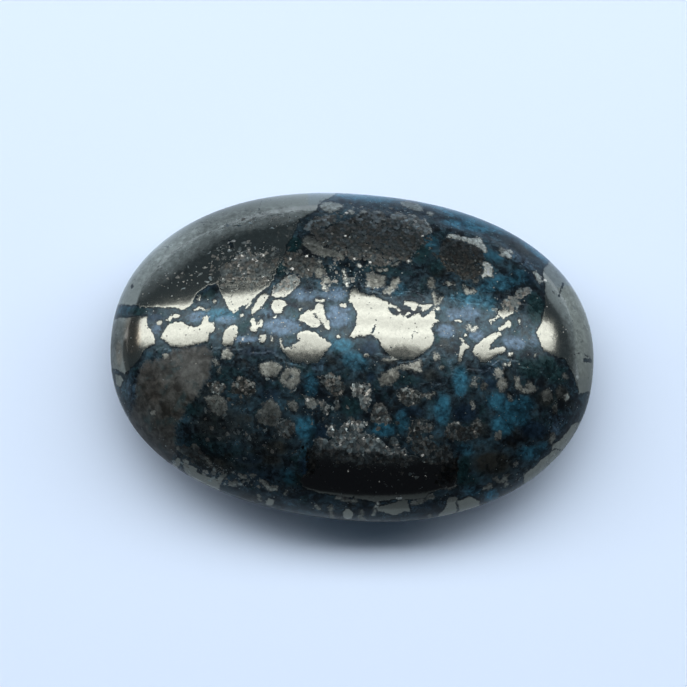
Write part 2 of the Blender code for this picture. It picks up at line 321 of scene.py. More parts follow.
satinSlivers = [
    (1.0, 0.15, [(4.84, 2.82), (4.98, 2.12)]),
    (1.0, 0.11, [(5.32, 2.68), (5.1, 2.15)]),
    (1.0, 0.16, [(1.3, 4.12), (1.8, 4.14)]),
    (1.0, 0.11, [(2.3, 4.52), (2.62, 4.8)]),
    (0.5, 0.17, [(1.98, -1.66), (2.6, -1.62)]),
    (1.5, 0.13, [(4.78, -3.5), (4.88, -3.68), (5.12, -3.45)]),
    (2.1, 0.13, [(7.62, -3.75), (7.7, -4.0)]),
    (1.0, 0.12, [(8.05, -4.7), (7.75, -5.05)]),
    (1.0, 0.15, [(-5.36, -5.15), (-5.44, -5.45)]),
    (2.0, 0.12, [(6.65, -5.1), (6.95, -5.08)]),
    (1.0, 0.12, [(6.7, -9.2), (7.3, -9.05)]),
    (1.0, 0.3, [(-9.75, -7.35), (-9.35, -7.95)]),
    (0.75, 0.26, [(-10.9, -7.55), (-10.4, -7.85)]),
    (1.0, 0.2, [(-8.55, -8.85), (-8.75, -9.2)]),
    (1.0, 0.22, [(-6.8, -9.25), (-6.45, -9.35)]),
    (1.0, 0.14, [(-3.75, -10.25), (-3.9, -10.5)]),
    (0.6, 0.22, [(-5.82, -10.8), (-5.92, -11.3)]),
    (0.5, 0.24, [(1.35, -11.5), (1.45, -11.9)]),
    (0.55, 0.4, [(1.35, -12.2), (1.6, -12.6)]),
    (0.6, 0.32, [(-0.78, -11.3), (-0.72, -12.7)]),
    (1.0, 0.22, [(-1.8, -11.3), (-1.6, -11.65)]),
    (2.2, 0.14, [(2.38, -10.72), (2.36, -10.98)]),
    (1.0, 0.13, [(2.32, -11.3), (2.24, -11.9)]),
    (1.0, 0.18, [(-0.4, -10.5), (0.2, -10.65), (0.9, -10.68)]),
    (1.0, 0.25, [(-9.0, -8.1), (-8.8, -8.5)]),
    (1.0, 0.2, [(9.9, -8.3), (10.15, -8.4)]),
    (0.7, 0.16, [(6.3, -11.6), (6.7, -12.2)]),
    (1.6, 0.13, [(-2.0, 2.95), (-1.85, 2.7), (-1.62, 2.62)]),
    (1.0, 0.13, [(9.9, -3.0), (10.05, -3.3)]),
    (1.0, 0.12, [(7.55, -2.3), (7.75, -2.7)]),
    (1.0, 0.1, [(7.75, -2.3), (7.5, -2.65)]),
    (1.0, 0.14, [(-8.3, -2.05), (-8.15, -2.3)]),
    (1.0, 0.12, [(-7.95, -2.55), (-8.05, -2.8)]),
    (1.0, 0.12, [(10.1, 3.65), (10.3, 3.8)]),
    (1.4, 0.11, [(10.8, 3.75), (10.95, 4.05)]),
    (0.6, 0.1, [(10.45, 3.55), (10.6, 3.8)]),
    (3.0, 0.09, [(4.75, 1.86), (5.1, 1.86)]),
    (2.0, 0.12, [(7.08, 0.95), (7.12, 0.75)]),
    (2.0, 0.14, [(7.35, 0.72), (7.5, 0.9)]),
    (2.0, 0.14, [(9.5, -1.2), (9.78, -1.12)]),
    (2.0, 0.18, [(0.2, 4.38), (0.24, 4.32)]),
    (2.5, 0.14, [(-0.72, 3.9), (-0.5, 3.0)]),
]
# Small pieces: brightness (partly their own tone, partly painted highlight and shade from their tilt),
# middle u and v, half length, half width.
mirrorDots = [
    (0.73, -12.13, 0.42, 0.2, 0.16), (1.0, -9.6, 1.95, 0.12, 0.16), (0.56, -8.55, 1.7, 0.09, 0.15),
    (1.8, -4.7, 0.72, 0.1, 0.09), (1.0, -6.75, 0.73, 0.1, 0.1), (1.0, 2.22, 1.76, 0.1, 0.13),
    (1.0, -0.8, -0.4, 0.12, 0.11), (1.0, 0.95, -1.45, 0.12, 0.14), (1.0, 6.9, 0.35, 0.09, 0.09),
    (0.4, -8.9, 1.2, 0.09, 0.1), (1.0, -3.2, 1.25, 0.12, 0.12),
]
satinDots = [
    (1.0, -2.2, 3.75, 0.3, 0.33), (1.8, -2.35, 4.4, 0.18, 0.15), (1.0, -1.75, 3.2, 0.24, 0.18),
    (1.0, -3.05, 3.85, 0.22, 0.26), (0.45, 4.65, 3.5, 0.2, 0.33), (1.5, 3.2, 4.95, 0.13, 0.13),
    (1.0, 5.75, 3.6, 0.2, 0.12), (0.45, 7.4, 4.05, 0.13, 0.16), (1.3, 9.2, 6.7, 0.18, 0.2),
    (2.4, 9.52, 6.6, 0.2, 0.16), (1.4, 9.78, 6.75, 0.16, 0.14), (1.8, 9.3, 6.32, 0.2, 0.14),
    (1.7, 9.65, 6.28, 0.16, 0.16), (1.0, 0.2, 8.7, 0.2, 0.26), (1.5, 1.5, 8.15, 0.2, 0.16),
    (1.0, -0.6, 8.65, 0.16, 0.18), (1.0, 4.65, 9.3, 0.2, 0.22), (1.0, 5.18, -1.15, 0.16, 0.2),
    (0.5, 5.55, -1.8, 0.1, 0.1), (0.75, 9.4, -2.4, 0.28, 0.42), (0.4, 8.25, -2.65, 0.16, 0.2),
    (0.35, 13.4, -2.3, 0.22, 0.35), (2.0, 14.0, -2.5, 0.18, 0.22), (0.6, 13.2, -3.35, 0.14, 0.3),
    (0.6, 13.7, -1.25, 0.2, 0.16), (1.0, -0.6, -4.6, 0.08, 0.15), (1.0, 5.8, -9.9, 0.24, 0.2),
    (1.4, 11.1, -7.2, 0.13, 0.14), (0.7, 11.0, -8.7, 0.18, 0.14), (1.0, -5.95, -9.2, 0.16, 0.14),
    (1.4, -12.5, -5.2, 0.14, 0.14), (0.7, -10.1, -7.8, 0.14, 0.2), (1.0, 3.0, -6.5, 0.2, 0.14),
    (2.6, 3.9, -6.3, 0.1, 0.1), (1.7, 9.5, -5.5, 0.16, 0.2), (1.0, -11.5, -1.75, 0.2, 0.12),
    (3.0, 3.75, -10.18, 0.22, 0.1),
]
# Seams of turquoise that cut through pyrite: width, then the points they run through.
gaps = [
    (0.42, [(-3.95, -0.6), (-3.7, -0.9)]),
    (0.18, [(-3.7, -1.0), (-3.6, -1.2)]),
    (0.09, [(1.42, 0.55), (1.3, 0.25), (1.2, -0.02)]),
    (0.08, [(3.68, 0.08), (3.64, -0.18)]),
    (0.06, [(2.98, 0.6), (2.9, 0.45)]),
    (0.08, [(1.05, 1.55), (1.08, 1.52)]),
    (0.14, [(-5.8, 0.3), (-5.74, 0.2)]),
    (0.16, [(13.72, 5.45), (13.45, 4.9)]),
    (0.1, [(13.45, 4.9), (13.1, 4.1)]),
    (0.06, [(14.3, 0.32), (14.9, 0.6), (16.4, 0.62)]),
    (0.06, [(-7.9, 8.85), (-7.2, 8.65), (-6.7, 8.5), (-6.2, 8.2), (-5.7, 8.05), (-5.0, 8.2)]),
    (0.04, [(-6.78, 10.2), (-6.76, 9.4), (-6.65, 8.6)]),
    (0.05, [(-10.6, 8.05), (-9.8, 7.8), (-9.2, 7.6)]),
    (0.12, [(-8.05, 7.2), (-7.5, 7.2)]),
    (0.22, [(-14.85, 3.45), (-14.7, 3.3)]),
    (0.14, [(-12.75, 4.42), (-12.7, 4.36)]),
    (0.06, [(-2.76, 8.5), (-2.74, 9.8)]),
    (0.1, [(-15.62, -2.35), (-14.8, -2.68)]),
    (0.16, [(7.75, -10.2), (8.3, -11.0), (8.6, -12.0)]),
    (0.1, [(13.9, -5.92), (15.6, -6.0)]),
    (0.26, [(-3.6, -3.0), (-3.5, -2.95)]),
    (0.12, [(-3.8, -3.25), (-3.75, -3.2)]),
    (0.03, [(-4.28, -2.25), (-4.35, -2.6)]),
    (0.08, [(3.35, -1.6), (3.5, -1.5)]),
    (0.3, [(15.3, 0.2), (16.2, 0.4)]),
    (0.12, [(14.95, 1.4), (15.1, 1.42)]),
    (0.06, [(12.65, 4.3), (12.75, 4.1)]),
    (0.3, [(-8.1, 5.9), (-7.8, 5.5)]),
    (0.2, [(-7.3, 3.6), (-7.1, 3.45)]),
    (0.07, [(-6.8, 3.45), (-6.0, 3.4), (-5.4, 3.7)]),
]
# Crumbly pyrite, a crust of small grains: how bright each shape is, partly its own tone and partly painted
# light and shade for how much of the lamp it catches, then its corners.
crust = [
    # the large dark one at the top of the dome
    (0.42, [(-2.9, 6.5), (-2.6, 6.1), (-2.0, 5.6), (-1.3, 5.4), (-0.6, 5.4), (0.4, 5.2), (1.4, 5.1),
      (2.4, 4.95), (3.1, 4.9), (3.3, 5.2), (3.6, 5.6), (3.9, 6.2), (4.1, 6.9), (4.0, 7.5), (3.5, 7.9),
      (2.9, 8.2), (2.3, 8.4), (1.9, 8.3), (1.4, 8.8), (0.9, 8.9), (0.4, 8.7), (-0.2, 8.5), (-0.4, 8.2),
      (-0.8, 7.8), (-1.5, 7.6), (-2.0, 7.0), (-2.6, 7.0), (-3.0, 6.6)]),
    # its lighter lower edge, and the lighter arc at its upper right
    (0.60, [(-1.6, 5.6), (-1.2, 5.35), (-0.6, 5.0), (-0.3, 4.6), (0.1, 4.75), (0.6, 4.8), (0.9, 4.45),
      (1.4, 4.4), (1.9, 4.45), (2.3, 4.8), (2.7, 5.0), (2.6, 5.35), (1.4, 5.5), (0.3, 5.7), (-0.8, 5.9)]),
    (0.85, [(3.9, 6.9), (4.6, 7.3), (4.5, 7.8), (4.35, 8.2), (4.2, 8.5), (3.8, 8.4), (3.8, 8.7),
      (3.3, 8.9), (2.9, 8.6), (2.6, 9.0), (2.2, 8.9), (2.0, 8.4), (2.5, 8.05), (3.1, 7.75), (3.6, 7.4)]),
    (0.60, [(-3.0, 6.7), (-2.5, 7.1), (-2.0, 7.2), (-1.4, 7.8), (-1.5, 8.3), (-2.2, 8.2), (-2.9, 7.9),
      (-3.4, 7.3), (-3.5, 6.9)]),
    # the blackish brown one to its right
    (0.25, [(5.3, 6.8), (5.6, 7.0), (6.5, 6.9), (7.3, 6.7), (7.9, 6.3), (8.0, 5.8), (7.8, 5.2),
      (7.9, 4.7), (7.5, 4.3), (7.2, 4.1), (6.6, 4.0), (6.1, 4.4), (5.6, 4.5), (5.3, 5.0), (5.0, 5.5),
      (5.2, 6.2)]),
    # crumbly ground in the upper left mass, low where it meets the light band
    (0.50, [(-8.2, 3.1), (-8.5, 3.9), (-8.0, 4.4), (-7.3, 4.3), (-6.8, 4.7), (-6.0, 4.5), (-5.5, 4.2),
      (-5.2, 3.7), (-5.6, 3.4), (-6.0, 2.9), (-6.6, 3.1), (-7.3, 2.9)]),
    (0.85, [(-7.8, 4.1), (-7.7, 4.6), (-7.4, 4.9), (-7.0, 5.2), (-6.6, 5.1), (-6.2, 4.7), (-6.1, 4.3),
      (-6.6, 4.2), (-7.1, 4.0)]),
    (0.36, [(-4.5, 4.9), (-4.1, 5.1), (-3.5, 5.0), (-3.0, 4.7), (-2.6, 4.8), (-2.2, 4.3), (-2.5, 3.9),
      (-2.7, 3.3), (-3.3, 3.4), (-4.0, 3.7), (-4.5, 4.2)]),
    (0.95, [(-5.0, 2.1), (-4.95, 2.6), (-4.6, 2.95), (-4.3, 3.35), (-3.9, 3.5), (-3.5, 3.3), (-3.3, 3.0),
      (-3.6, 2.75), (-3.7, 2.45), (-4.2, 2.5), (-4.6, 2.3)]),
    # over the flakes near the right end
    (0.70, [(9.15, 2.45), (9.1, 2.9), (9.4, 3.2), (9.8, 3.35), (10.2, 3.25), (10.3, 2.9), (10.1, 2.6),
      (9.8, 2.5), (9.5, 2.4)]),
    (0.80, [(9.9, 3.35), (10.0, 3.75), (10.5, 4.05), (11.0, 4.2), (11.1, 3.95), (10.7, 3.55),
      (10.3, 3.3)]),
    # the cluster below the middle
    (1.45, [(-1.25, -5.8), (-0.8, -5.7), (-0.5, -6.1), (-0.1, -5.6), (0.2, -5.2), (0.6, -5.4),
      (1.0, -5.4), (1.05, -5.9), (0.6, -6.3), (0.0, -6.5), (-0.6, -6.6), (-1.1, -6.4)]),
    (0.78, [(1.7, -4.3), (2.1, -4.2), (2.4, -4.6), (2.75, -5.1), (2.75, -5.5), (2.3, -5.4), (1.8, -5.5),
      (1.4, -5.3), (1.5, -4.8)]),
    (0.50, [(3.0, -3.4), (3.4, -3.2), (4.1, -3.3), (4.6, -3.6), (4.3, -4.1), (3.6, -4.35), (3.1, -4.1)]),
    (0.65, [(4.2, -5.1), (4.5, -4.95), (4.9, -5.05), (5.3, -5.25), (5.4, -5.5), (5.1, -5.8), (4.6, -5.9),
      (4.1, -6.2), (3.85, -5.9), (3.9, -5.5)]),
    (0.43, [(-1.9, -2.9), (-1.4, -2.8), (-1.1, -2.6), (-0.6, -2.8), (-0.2, -3.4), (-0.3, -3.9),
      (-0.9, -4.0), (-1.3, -3.6)]),
    (1.05, [(0.1, -3.3), (0.6, -3.1), (1.3, -3.2), (1.4, -4.0), (1.2, -4.9), (0.8, -4.6), (0.7, -4.0),
      (0.3, -3.9)]),
    (0.85, [(4.1, -6.4), (4.5, -6.05), (5.0, -6.15), (5.5, -6.35), (5.7, -6.6), (5.35, -7.1), (4.9, -7.3),
      (4.4, -7.15), (4.1, -6.8)]),
    (1.00, [(2.7, -6.45), (2.9, -6.25), (3.2, -6.35), (3.35, -6.65), (3.0, -6.85), (2.75, -6.7)]),
    (0.58, [(6.1, -5.3), (6.4, -5.1), (6.9, -5.1), (7.4, -5.25), (7.8, -5.1), (8.2, -4.6), (8.4, -5.0),
      (8.3, -5.6), (7.8, -6.0), (7.2, -6.1), (6.6, -6.15), (6.15, -6.0)]),
    (0.40, [(-7.2, -3.6), (-6.8, -3.1), (-6.3, -3.1), (-5.8, -3.4), (-5.5, -3.9), (-6.0, -4.2),
      (-6.6, -4.1), (-7.1, -4.0)]),
    (0.85, [(-4.0, -5.6), (-3.6, -5.5), (-3.2, -5.8), (-3.1, -6.3), (-3.5, -6.7), (-4.0, -6.5),
      (-4.3, -6.0)]),
    (0.75, [(-1.75, -4.4), (-1.35, -4.3), (-1.05, -4.7), (-1.15, -5.25), (-1.45, -5.1)]),
    # along the top of the dark mirror
    (1.60, [(-1.95, -6.7), (-1.6, -6.5), (-1.1, -6.7), (-0.6, -6.55), (0.0, -6.3), (0.5, -6.15),
      (1.0, -6.15), (1.6, -6.25), (2.1, -6.4), (2.45, -6.65), (2.75, -7.0), (3.1, -6.9), (3.4, -6.85),
      (3.8, -7.0), (3.9, -7.3), (3.0, -7.35), (2.0, -7.25), (1.2, -7.4), (0.2, -7.3), (-0.8, -7.25),
      (-1.6, -7.3)]),
    (0.62, [(-2.0, -7.1), (-1.6, -7.3), (-0.8, -7.25), (0.2, -7.3), (1.2, -7.4), (2.0, -7.25),
      (3.0, -7.35), (3.9, -7.3), (4.4, -7.35), (4.9, -7.3), (5.4, -7.35), (5.7, -7.0), (5.8, -6.6),
      (6.1, -6.4), (6.4, -6.5), (6.7, -6.8), (6.8, -7.2), (6.6, -7.6), (5.5, -7.7), (4.5, -7.6),
      (3.5, -7.75), (2.5, -7.9), (1.5, -8.0), (0.5, -7.9), (-0.5, -7.85), (-1.3, -7.75), (-2.1, -7.6)]),
    # a dark fringe at both ends of the dark mirror
    (0.20, [(-2.35, -7.3), (-1.9, -7.4), (-1.7, -8.2), (-1.9, -8.9), (-2.3, -9.1), (-2.4, -8.4)]),
    (0.20, [(6.3, -7.4), (7.1, -7.1), (7.3, -8.0), (7.0, -8.9), (6.3, -9.2), (6.0, -8.4)]),
    # on the wall, in front and at the back
    (0.80, [(-1.1, -13.6), (-0.3, -13.3), (0.5, -13.7), (0.3, -14.5), (-0.5, -14.9), (-1.3, -14.4)]),
    (0.80, [(4.3, 14.6), (4.4, 15.5), (5.3, 15.8), (6.0, 15.0), (6.4, 14.0), (5.6, 13.6), (5.0, 14.2)]),
    (0.70, [(9.6, 12.0), (9.9, 12.8), (10.7, 12.9), (11.0, 12.2), (10.4, 11.6)]),
    # greyish grains in the lower left
    (0.45, [(-10.9, -7.4), (-10.4, -7.3), (-9.9, -7.6), (-9.4, -7.4), (-9.1, -8.0), (-9.5, -8.3),
      (-10.3, -8.0), (-10.8, -7.9)]),
    (0.50, [(-8.7, -3.5), (-8.0, -3.3), (-7.5, -3.7), (-7.8, -4.1), (-8.5, -4.1)]),
]
# Single crystals that catch the lamp, painted as bright highlights: middle, radius.
paintedGlints = [
    (-7.45, 5.15, 0.06), (-6.8, 4.65, 0.11), (-6.1, 4.4, 0.07), (-8.6, 5.6, 0.06), (-8.5, 5.0, 0.06),
    (-9.35, 4.0, 0.08), (-5.45, 4.05, 0.09), (-5.6, 3.3, 0.06), (-5.3, 3.05, 0.07), (-8.25, 3.2, 0.09),
    (-7.0, 3.2, 0.06), (-7.5, 3.2, 0.06), (-6.3, 4.1, 0.06), (-11.5, 3.25, 0.08), (-13.1, 3.45, 0.06),
    (-10.2, 5.6, 0.07), (-12.7, 4.4, 0.06), (-6.6, 8.15, 0.07), (-12.15, 2.2, 0.08), (-9.7, 2.0, 0.09),
    (-3.1, 4.8, 0.15), (-3.9, 3.9, 0.14), (-2.9, 3.9, 0.12), (-4.1, 4.6, 0.10), (-0.9, 8.55, 0.11),
    (4.1, 6.95, 0.10), (0.2, 4.36, 0.12), (3.2, 4.95, 0.09), (-0.1, 4.85, 0.08), (0.8, 4.65, 0.09),
    (0.7, 7.2, 0.08), (-0.8, 6.5, 0.08), (12.15, 5.05, 0.13), (4.88, -7.2, 0.13), (0.1, -5.65, 0.13),
    (0.75, -5.65, 0.14), (-0.9, -5.85, 0.10), (1.1, -6.45, 0.10), (6.3, -6.55, 0.09), (1.95, -5.2, 0.09),
    (4.2, -5.8, 0.09), (1.0, -3.3, 0.09), (0.3, -8.6, 0.11), (5.2, -8.5, 0.09), (4.35, -8.6, 0.09),
    (2.3, -9.1, 0.08), (-2.45, -4.3, 0.14), (6.85, -5.08, 0.10), (-1.2, -5.1, 0.09), (-0.3, -6.9, 0.09),
    (-7.2, 4.8, 0.12), (-6.7, 5.2, 0.11), (-6.2, 4.9, 0.12), (-7.6, 4.6, 0.11), (-6.4, 4.5, 0.12),
    (-5.8, 4.8, 0.11), (-7.0, 5.5, 0.10), (-8.0, 5.3, 0.10), (-6.6, 3.9, 0.11), (-7.3, 4.1, 0.11),
    (-6.9, 3.5, 0.10), (-5.9, 5.3, 0.10), (-4.85, -0.6, 0.09), (9.7, -0.5, 0.11), (-6.6, -0.75, 0.11),
    (-5.0, 4.35, 0.06), (-7.8, 4.3, 0.06),
]
# Soft areas: middle u and v, half length, half width, turn in degrees, strength. Each fades out
# between these shares of its half length and width.
areaFade = (0.45, 1.35)
areas = {
    # bright sky blue turquoise
    "blue": [
        (-0.7, -0.9, 0.9, 0.45, 0, 0.7), (0.3, -1.8, 0.9, 0.6, -20, 0.6), (6.75, -2.5, 0.5, 0.95, 0, 1.0),
        (5.8, -4.3, 0.5, 1.0, 0, 0.9), (10.3, -3.95, 1.2, 0.75, -20, 1.0),
        (9.7, -4.8, 0.8, 0.75, 20, 1.0), (9.2, -3.5, 0.8, 0.6, 0, 0.8), (10.9, -3.4, 0.8, 0.5, 0, 0.7),
        (9.0, 4.1, 1.7, 0.6, 25, 0.55), (8.2, 2.7, 0.6, 0.6, 0, 0.55), (10.3, 4.9, 0.7, 0.6, 0, 0.45),
        (7.0, 2.6, 1.2, 0.6, 0, 0.6), (2.3, -5.8, 0.8, 0.45, 0, 0.9), (3.4, -5.2, 0.45, 0.8, 0, 0.6),
        (-2.5, -6.0, 0.7, 0.7, 0, 1.0), (-2.2, -6.6, 0.45, 0.6, 0, 0.4), (-2.5, -7.5, 0.4, 0.7, 0, 0.28),
        (11.9, -6.4, 0.9, 0.5, 0, 0.75), (12.8, -5.9, 0.5, 0.4, 0, 0.5), (10.5, -9.8, 1.0, 0.5, -35, 0.9),
        (7.5, -6.6, 0.6, 0.4, 0, 0.6), (0.3, 11.0, 2.6, 0.9, 0, 1.0), (7.5, 9.8, 3.6, 1.0, -20, 1.0),
        (12.2, 7.9, 1.8, 0.9, -40, 1.0), (-2.3, -3.5, 0.5, 0.85, 0, 0.7), (8.6, 6.1, 0.8, 0.5, 0, 0.45),
        (4.6, 6.5, 0.5, 0.6, 0, 0.5), (-8.3, 0.8, 1.5, 0.45, 0, 0.6), (2.6, 2.9, 0.6, 0.5, 0, 0.5),
        (-15.6, 1.9, 1.2, 0.35, -15, 0.35), (9.6, 13.4, 1.2, 0.6, -40, 0.6),
        (-1.9, -15.6, 1.6, 0.7, 0, 0.6), (5.9, -15.4, 1.2, 0.6, 0, 0.6), (-3.6, -9.1, 0.6, 0.6, 0, 0.4),
        (8.6, -9.3, 0.8, 0.4, -20, 0.4), (7.1, 8.5, 1.6, 0.6, 0, 0.9),
    ],
    # paler, misty blue, partly the stone's own paler tone where the polish is smoother and partly painted
    # sheen of the overhead light band
    "mist": [
        (-4.3, 0.1, 1.2, 0.6, 0, 1.0), (-0.9, 0.75, 0.8, 0.6, 0, 1.0), (-0.9, 1.35, 0.8, 0.25, 0, 0.8),
        (-6.6, -0.75, 1.0, 0.2, 0, 1.0), (5.7, 0.5, 0.6, 0.45, 0, 1.0), (7.1, 1.8, 0.7, 0.6, 0, 0.7),
        (6.2, 1.6, 0.6, 0.5, 0, 0.6), (7.6, 0.4, 0.5, 0.4, 0, 0.7), (10.0, 0.3, 0.8, 0.45, 0, 0.9),
        (-9.5, 0.7, 0.8, 0.35, 0, 0.8), (-3.0, 2.2, 1.0, 0.5, 0, 0.6), (-1.2, 2.3, 0.8, 0.5, 0, 0.8),
        (-12.3, 0.05, 0.4, 0.4, 0, 0.7), (1.6, 2.9, 1.4, 0.3, 0, 0.4), (-7.8, 0.5, 0.7, 0.3, 0, 0.6),
        (-5.2, 1.0, 0.5, 0.4, 0, 0.4), (9.0, -1.2, 0.6, 0.3, 0, 0.4), (13.6, -4.3, 0.9, 0.8, 0, 0.4),
        (-1.9, -2.2, 0.5, 0.4, 0, 0.4), (-14.1, -3.5, 0.6, 0.9, 0, 0.35),
        (10.4, 6.3, 1.4, 0.5, -30, 0.35), (11.3, 0.6, 0.4, 0.5, 0, 0.5),
    ],
    # dark green to teal turquoise
    "teal": [
        (-9.1, -7.4, 1.9, 1.1, 0, 0.5), (-7.0, -8.2, 2.0, 0.9, 0, 0.5), (11.4, 2.8, 0.7, 1.2, 0, 0.9),
        (13.0, -1.2, 1.2, 0.7, 0, 0.8), (-9.6, -5.0, 0.8, 0.6, 0, 0.6), (7.6, -7.9, 0.5, 1.0, 0, 0.9),
        (8.0, -8.6, 0.9, 0.5, 0, 0.7), (-3.9, 5.6, 0.5, 0.7, 0, 0.9), (-4.6, 3.8, 0.4, 0.6, 0, 0.8),
        (-9.0, 2.2, 0.6, 0.5, 0, 0.8), (-13.9, 1.4, 0.9, 0.3, -10, 0.9), (-7.5, -2.9, 1.0, 0.6, 0, 0.5),
        (11.2, -1.2, 1.0, 0.7, 0, 0.8), (-3.0, -9.3, 1.2, 0.6, 0, 0.6), (9.0, -1.0, 0.5, 0.5, 0, 0.3),
        (1.6, 4.2, 1.6, 0.5, 0, 0.5), (4.0, 5.8, 0.7, 1.1, 0, 0.8), (0.2, -4.6, 0.8, 0.7, 0, 0.7),
        (6.6, 3.0, 1.0, 0.5, 0, 0.35), (-7.2, 0.9, 0.5, 0.3, 0, 0.5), (3.4, -2.7, 0.7, 0.4, 0, 0.7),
        (4.9, 4.6, 0.6, 0.8, 0, 0.7), (-2.6, -3.9, 0.3, 0.6, 0, 0.3), (12.3, -0.6, 0.8, 0.5, 0, 0.9),
        (3.4, 15.6, 2.6, 0.9, 0, 0.8), (2.6, -14.2, 2.0, 0.8, 0, 0.8),
    ],
    # deep navy turquoise
    "navy": [
        (7.2, -4.4, 0.8, 0.6, 0, 1.0), (11.9, -4.9, 1.1, 0.6, 0, 0.9), (-2.3, -8.4, 0.6, 0.9, 0, 0.9),
        (8.6, -2.5, 0.7, 0.4, 0, 0.8), (-1.5, -6.2, 0.5, 0.6, 0, 0.8), (3.9, -4.6, 0.9, 0.35, 0, 0.7),
        (11.0, 5.0, 0.4, 0.6, 0, 0.7), (-5.3, -9.0, 1.5, 0.7, 0, 0.5), (-4.8, -4.1, 0.8, 0.5, 0, 0.6),
        (-10.3, -6.8, 0.7, 0.9, 0, 0.3), (1.3, -2.7, 0.3, 0.3, 0, 0.8), (5.5, -10.7, 1.2, 0.5, 0, 0.5),
        (8.9, 3.0, 0.3, 0.3, 0, 0.5), (-6.0, -8.1, 1.0, 0.4, 0, 0.6), (-12.5, 0.8, 0.7, 0.3, 0, 0.8),
        (-9.0, 2.6, 0.7, 0.3, 30, 0.6), (1.1, -1.0, 0.6, 0.5, 0, 0.8), (-5.6, -1.5, 1.4, 0.35, 0, 0.7),
        (8.4, -1.7, 0.7, 0.4, 0, 0.7), (8.8, 11.6, 1.6, 0.8, -40, 0.7),
    ],
    # dull brown-grey rock with neither blue nor a mirror in it
    "brown": [
        (9.5, -7.3, 1.5, 0.9, 0, 0.9), (8.3, -5.3, 0.9, 0.6, 0, 0.6), (7.2, -5.7, 1.0, 0.4, 0, 0.6),
        (-4.7, -8.1, 0.9, 0.4, 0, 0.7), (-7.6, -6.6, 1.2, 0.5, 0, 0.5), (-6.8, -11.3, 1.3, 0.6, 10, 0.7),
        (10.5, 7.4, 1.6, 0.6, -25, 0.55), (12.4, -2.9, 0.8, 0.6, 0, 0.7), (-5.8, -1.5, 1.2, 0.35, 0, 0.5),
        (0.5, -3.5, 1.0, 0.6, 0, 0.5), (-6.4, -5.6, 0.8, 0.4, 0, 0.6), (5.6, -7.0, 0.8, 0.5, 0, 0.5),
        (10.9, -8.0, 0.9, 0.6, 0, 0.3), (3.9, -3.7, 0.8, 0.5, 0, 0.6), (2.0, -4.7, 0.6, 0.6, 0, 0.6),
        (-4.3, -7.3, 0.9, 0.6, 0, 0.7), (-5.9, -6.8, 0.9, 0.5, 0, 0.5), (-7.8, -6.0, 2.2, 1.2, 0, 0.55),
        (-5.6, -8.3, 1.8, 0.8, 0, 0.5), (-8.6, -4.4, 1.2, 0.8, 0, 0.4), (-8.6, -8.5, 2.0, 0.7, -10, 0.7),
        (-3.9, -6.2, 0.8, 1.0, 0, 0.5), (5.6, -0.3, 0.4, 0.4, 0, 0.6), (13.6, -2.4, 0.6, 0.6, 0, 0.8),
        (4.9, -2.3, 0.6, 0.5, 0, 0.6), (-3.0, 1.6, 0.8, 0.4, 0, 0.4), (0.2, 13.8, 1.1, 0.7, 0, 0.7),
        (-6.2, -14.2, 1.4, 0.8, 20, 0.7),
    ],
    # fine pyrite grains scattered through
    "sprinkle": [
        (-10.8, 3.5, 2.6, 0.8, 12, 0.32), (-8.3, 3.6, 1.2, 0.7, 10, 0.4), (-6.7, 3.6, 1.7, 1.1, 0, 1.1),
        (-5.5, 4.5, 1.2, 1.1, 20, 0.9), (-7.6, 4.9, 1.8, 1.0, 10, 0.5), (-3.6, 4.4, 1.5, 1.0, 0, 0.9),
        (-7.2, 3.0, 1.6, 0.6, 0, 0.8), (-5.5, 7.6, 2.5, 0.6, 0, 0.35), (0.6, -7.6, 3.8, 0.8, 0, 0.8),
        (3.5, -5.9, 2.6, 0.7, 0, 0.4), (0.7, 6.7, 4.0, 1.8, 0, 0.5), (-0.5, 4.2, 1.6, 0.8, 0, 0.5),
        (1.0, 9.3, 2.5, 0.6, 0, 0.3), (-1.6, -4.7, 1.6, 1.4, 0, 0.4), (9.3, 2.6, 1.0, 0.6, 20, 0.5),
        (-8.5, -9.2, 3.0, 0.8, -15, 0.5), (-6.0, -5.8, 3.4, 2.2, 0, 0.28), (-1.0, 3.6, 2.6, 0.7, 0, 0.5),
        (6.4, 5.6, 1.4, 1.2, 0, 0.3), (5.5, -8.4, 3.0, 0.5, 0, 0.2),
    ],
    # pyrite with a fine etched face
    "etched": [
        (-10.5, 6.0, 5.5, 1.8, 25, 1.0), (-12.5, 4.0, 2.5, 1.2, 10, 0.7), (-7.0, 8.0, 4.0, 1.2, 5, 1.0),
        (-5.5, 6.4, 1.6, 1.4, 0, 0.5), (14.5, 3.0, 1.6, 5.0, 0, 0.7), (-16.2, 0.0, 1.6, 4.0, 0, 0.9),
        (13.0, 6.5, 1.0, 1.5, 0, 0.6), (14.0, -7.0, 2.0, 1.5, 45, 0.7),
    ],
    # paler and browner spots of the dull patch
    "dullLight": [
        (-9.8, -2.9, 0.9, 1.2, 20, 1.0), (-10.3, -2.1, 0.8, 0.5, 0, 0.7), (-11.4, -3.2, 0.6, 0.5, 0, 0.3),
        (-12.6, -5.4, 0.7, 0.6, 0, 0.3), (-9.4, -1.5, 0.8, 0.3, 0, 0.5),
    ],
    "rust": [
        (-12.3, -3.8, 1.0, 1.0, 0, 0.45), (-11.3, -5.4, 0.9, 1.0, 0, 0.25),
        (-13.0, -2.4, 0.6, 0.5, 0, 0.4), (-14.2, -0.2, 0.7, 1.6, 10, 0.9),
        (-15.3, -1.2, 0.4, 0.9, 10, 0.6),
    ],
}
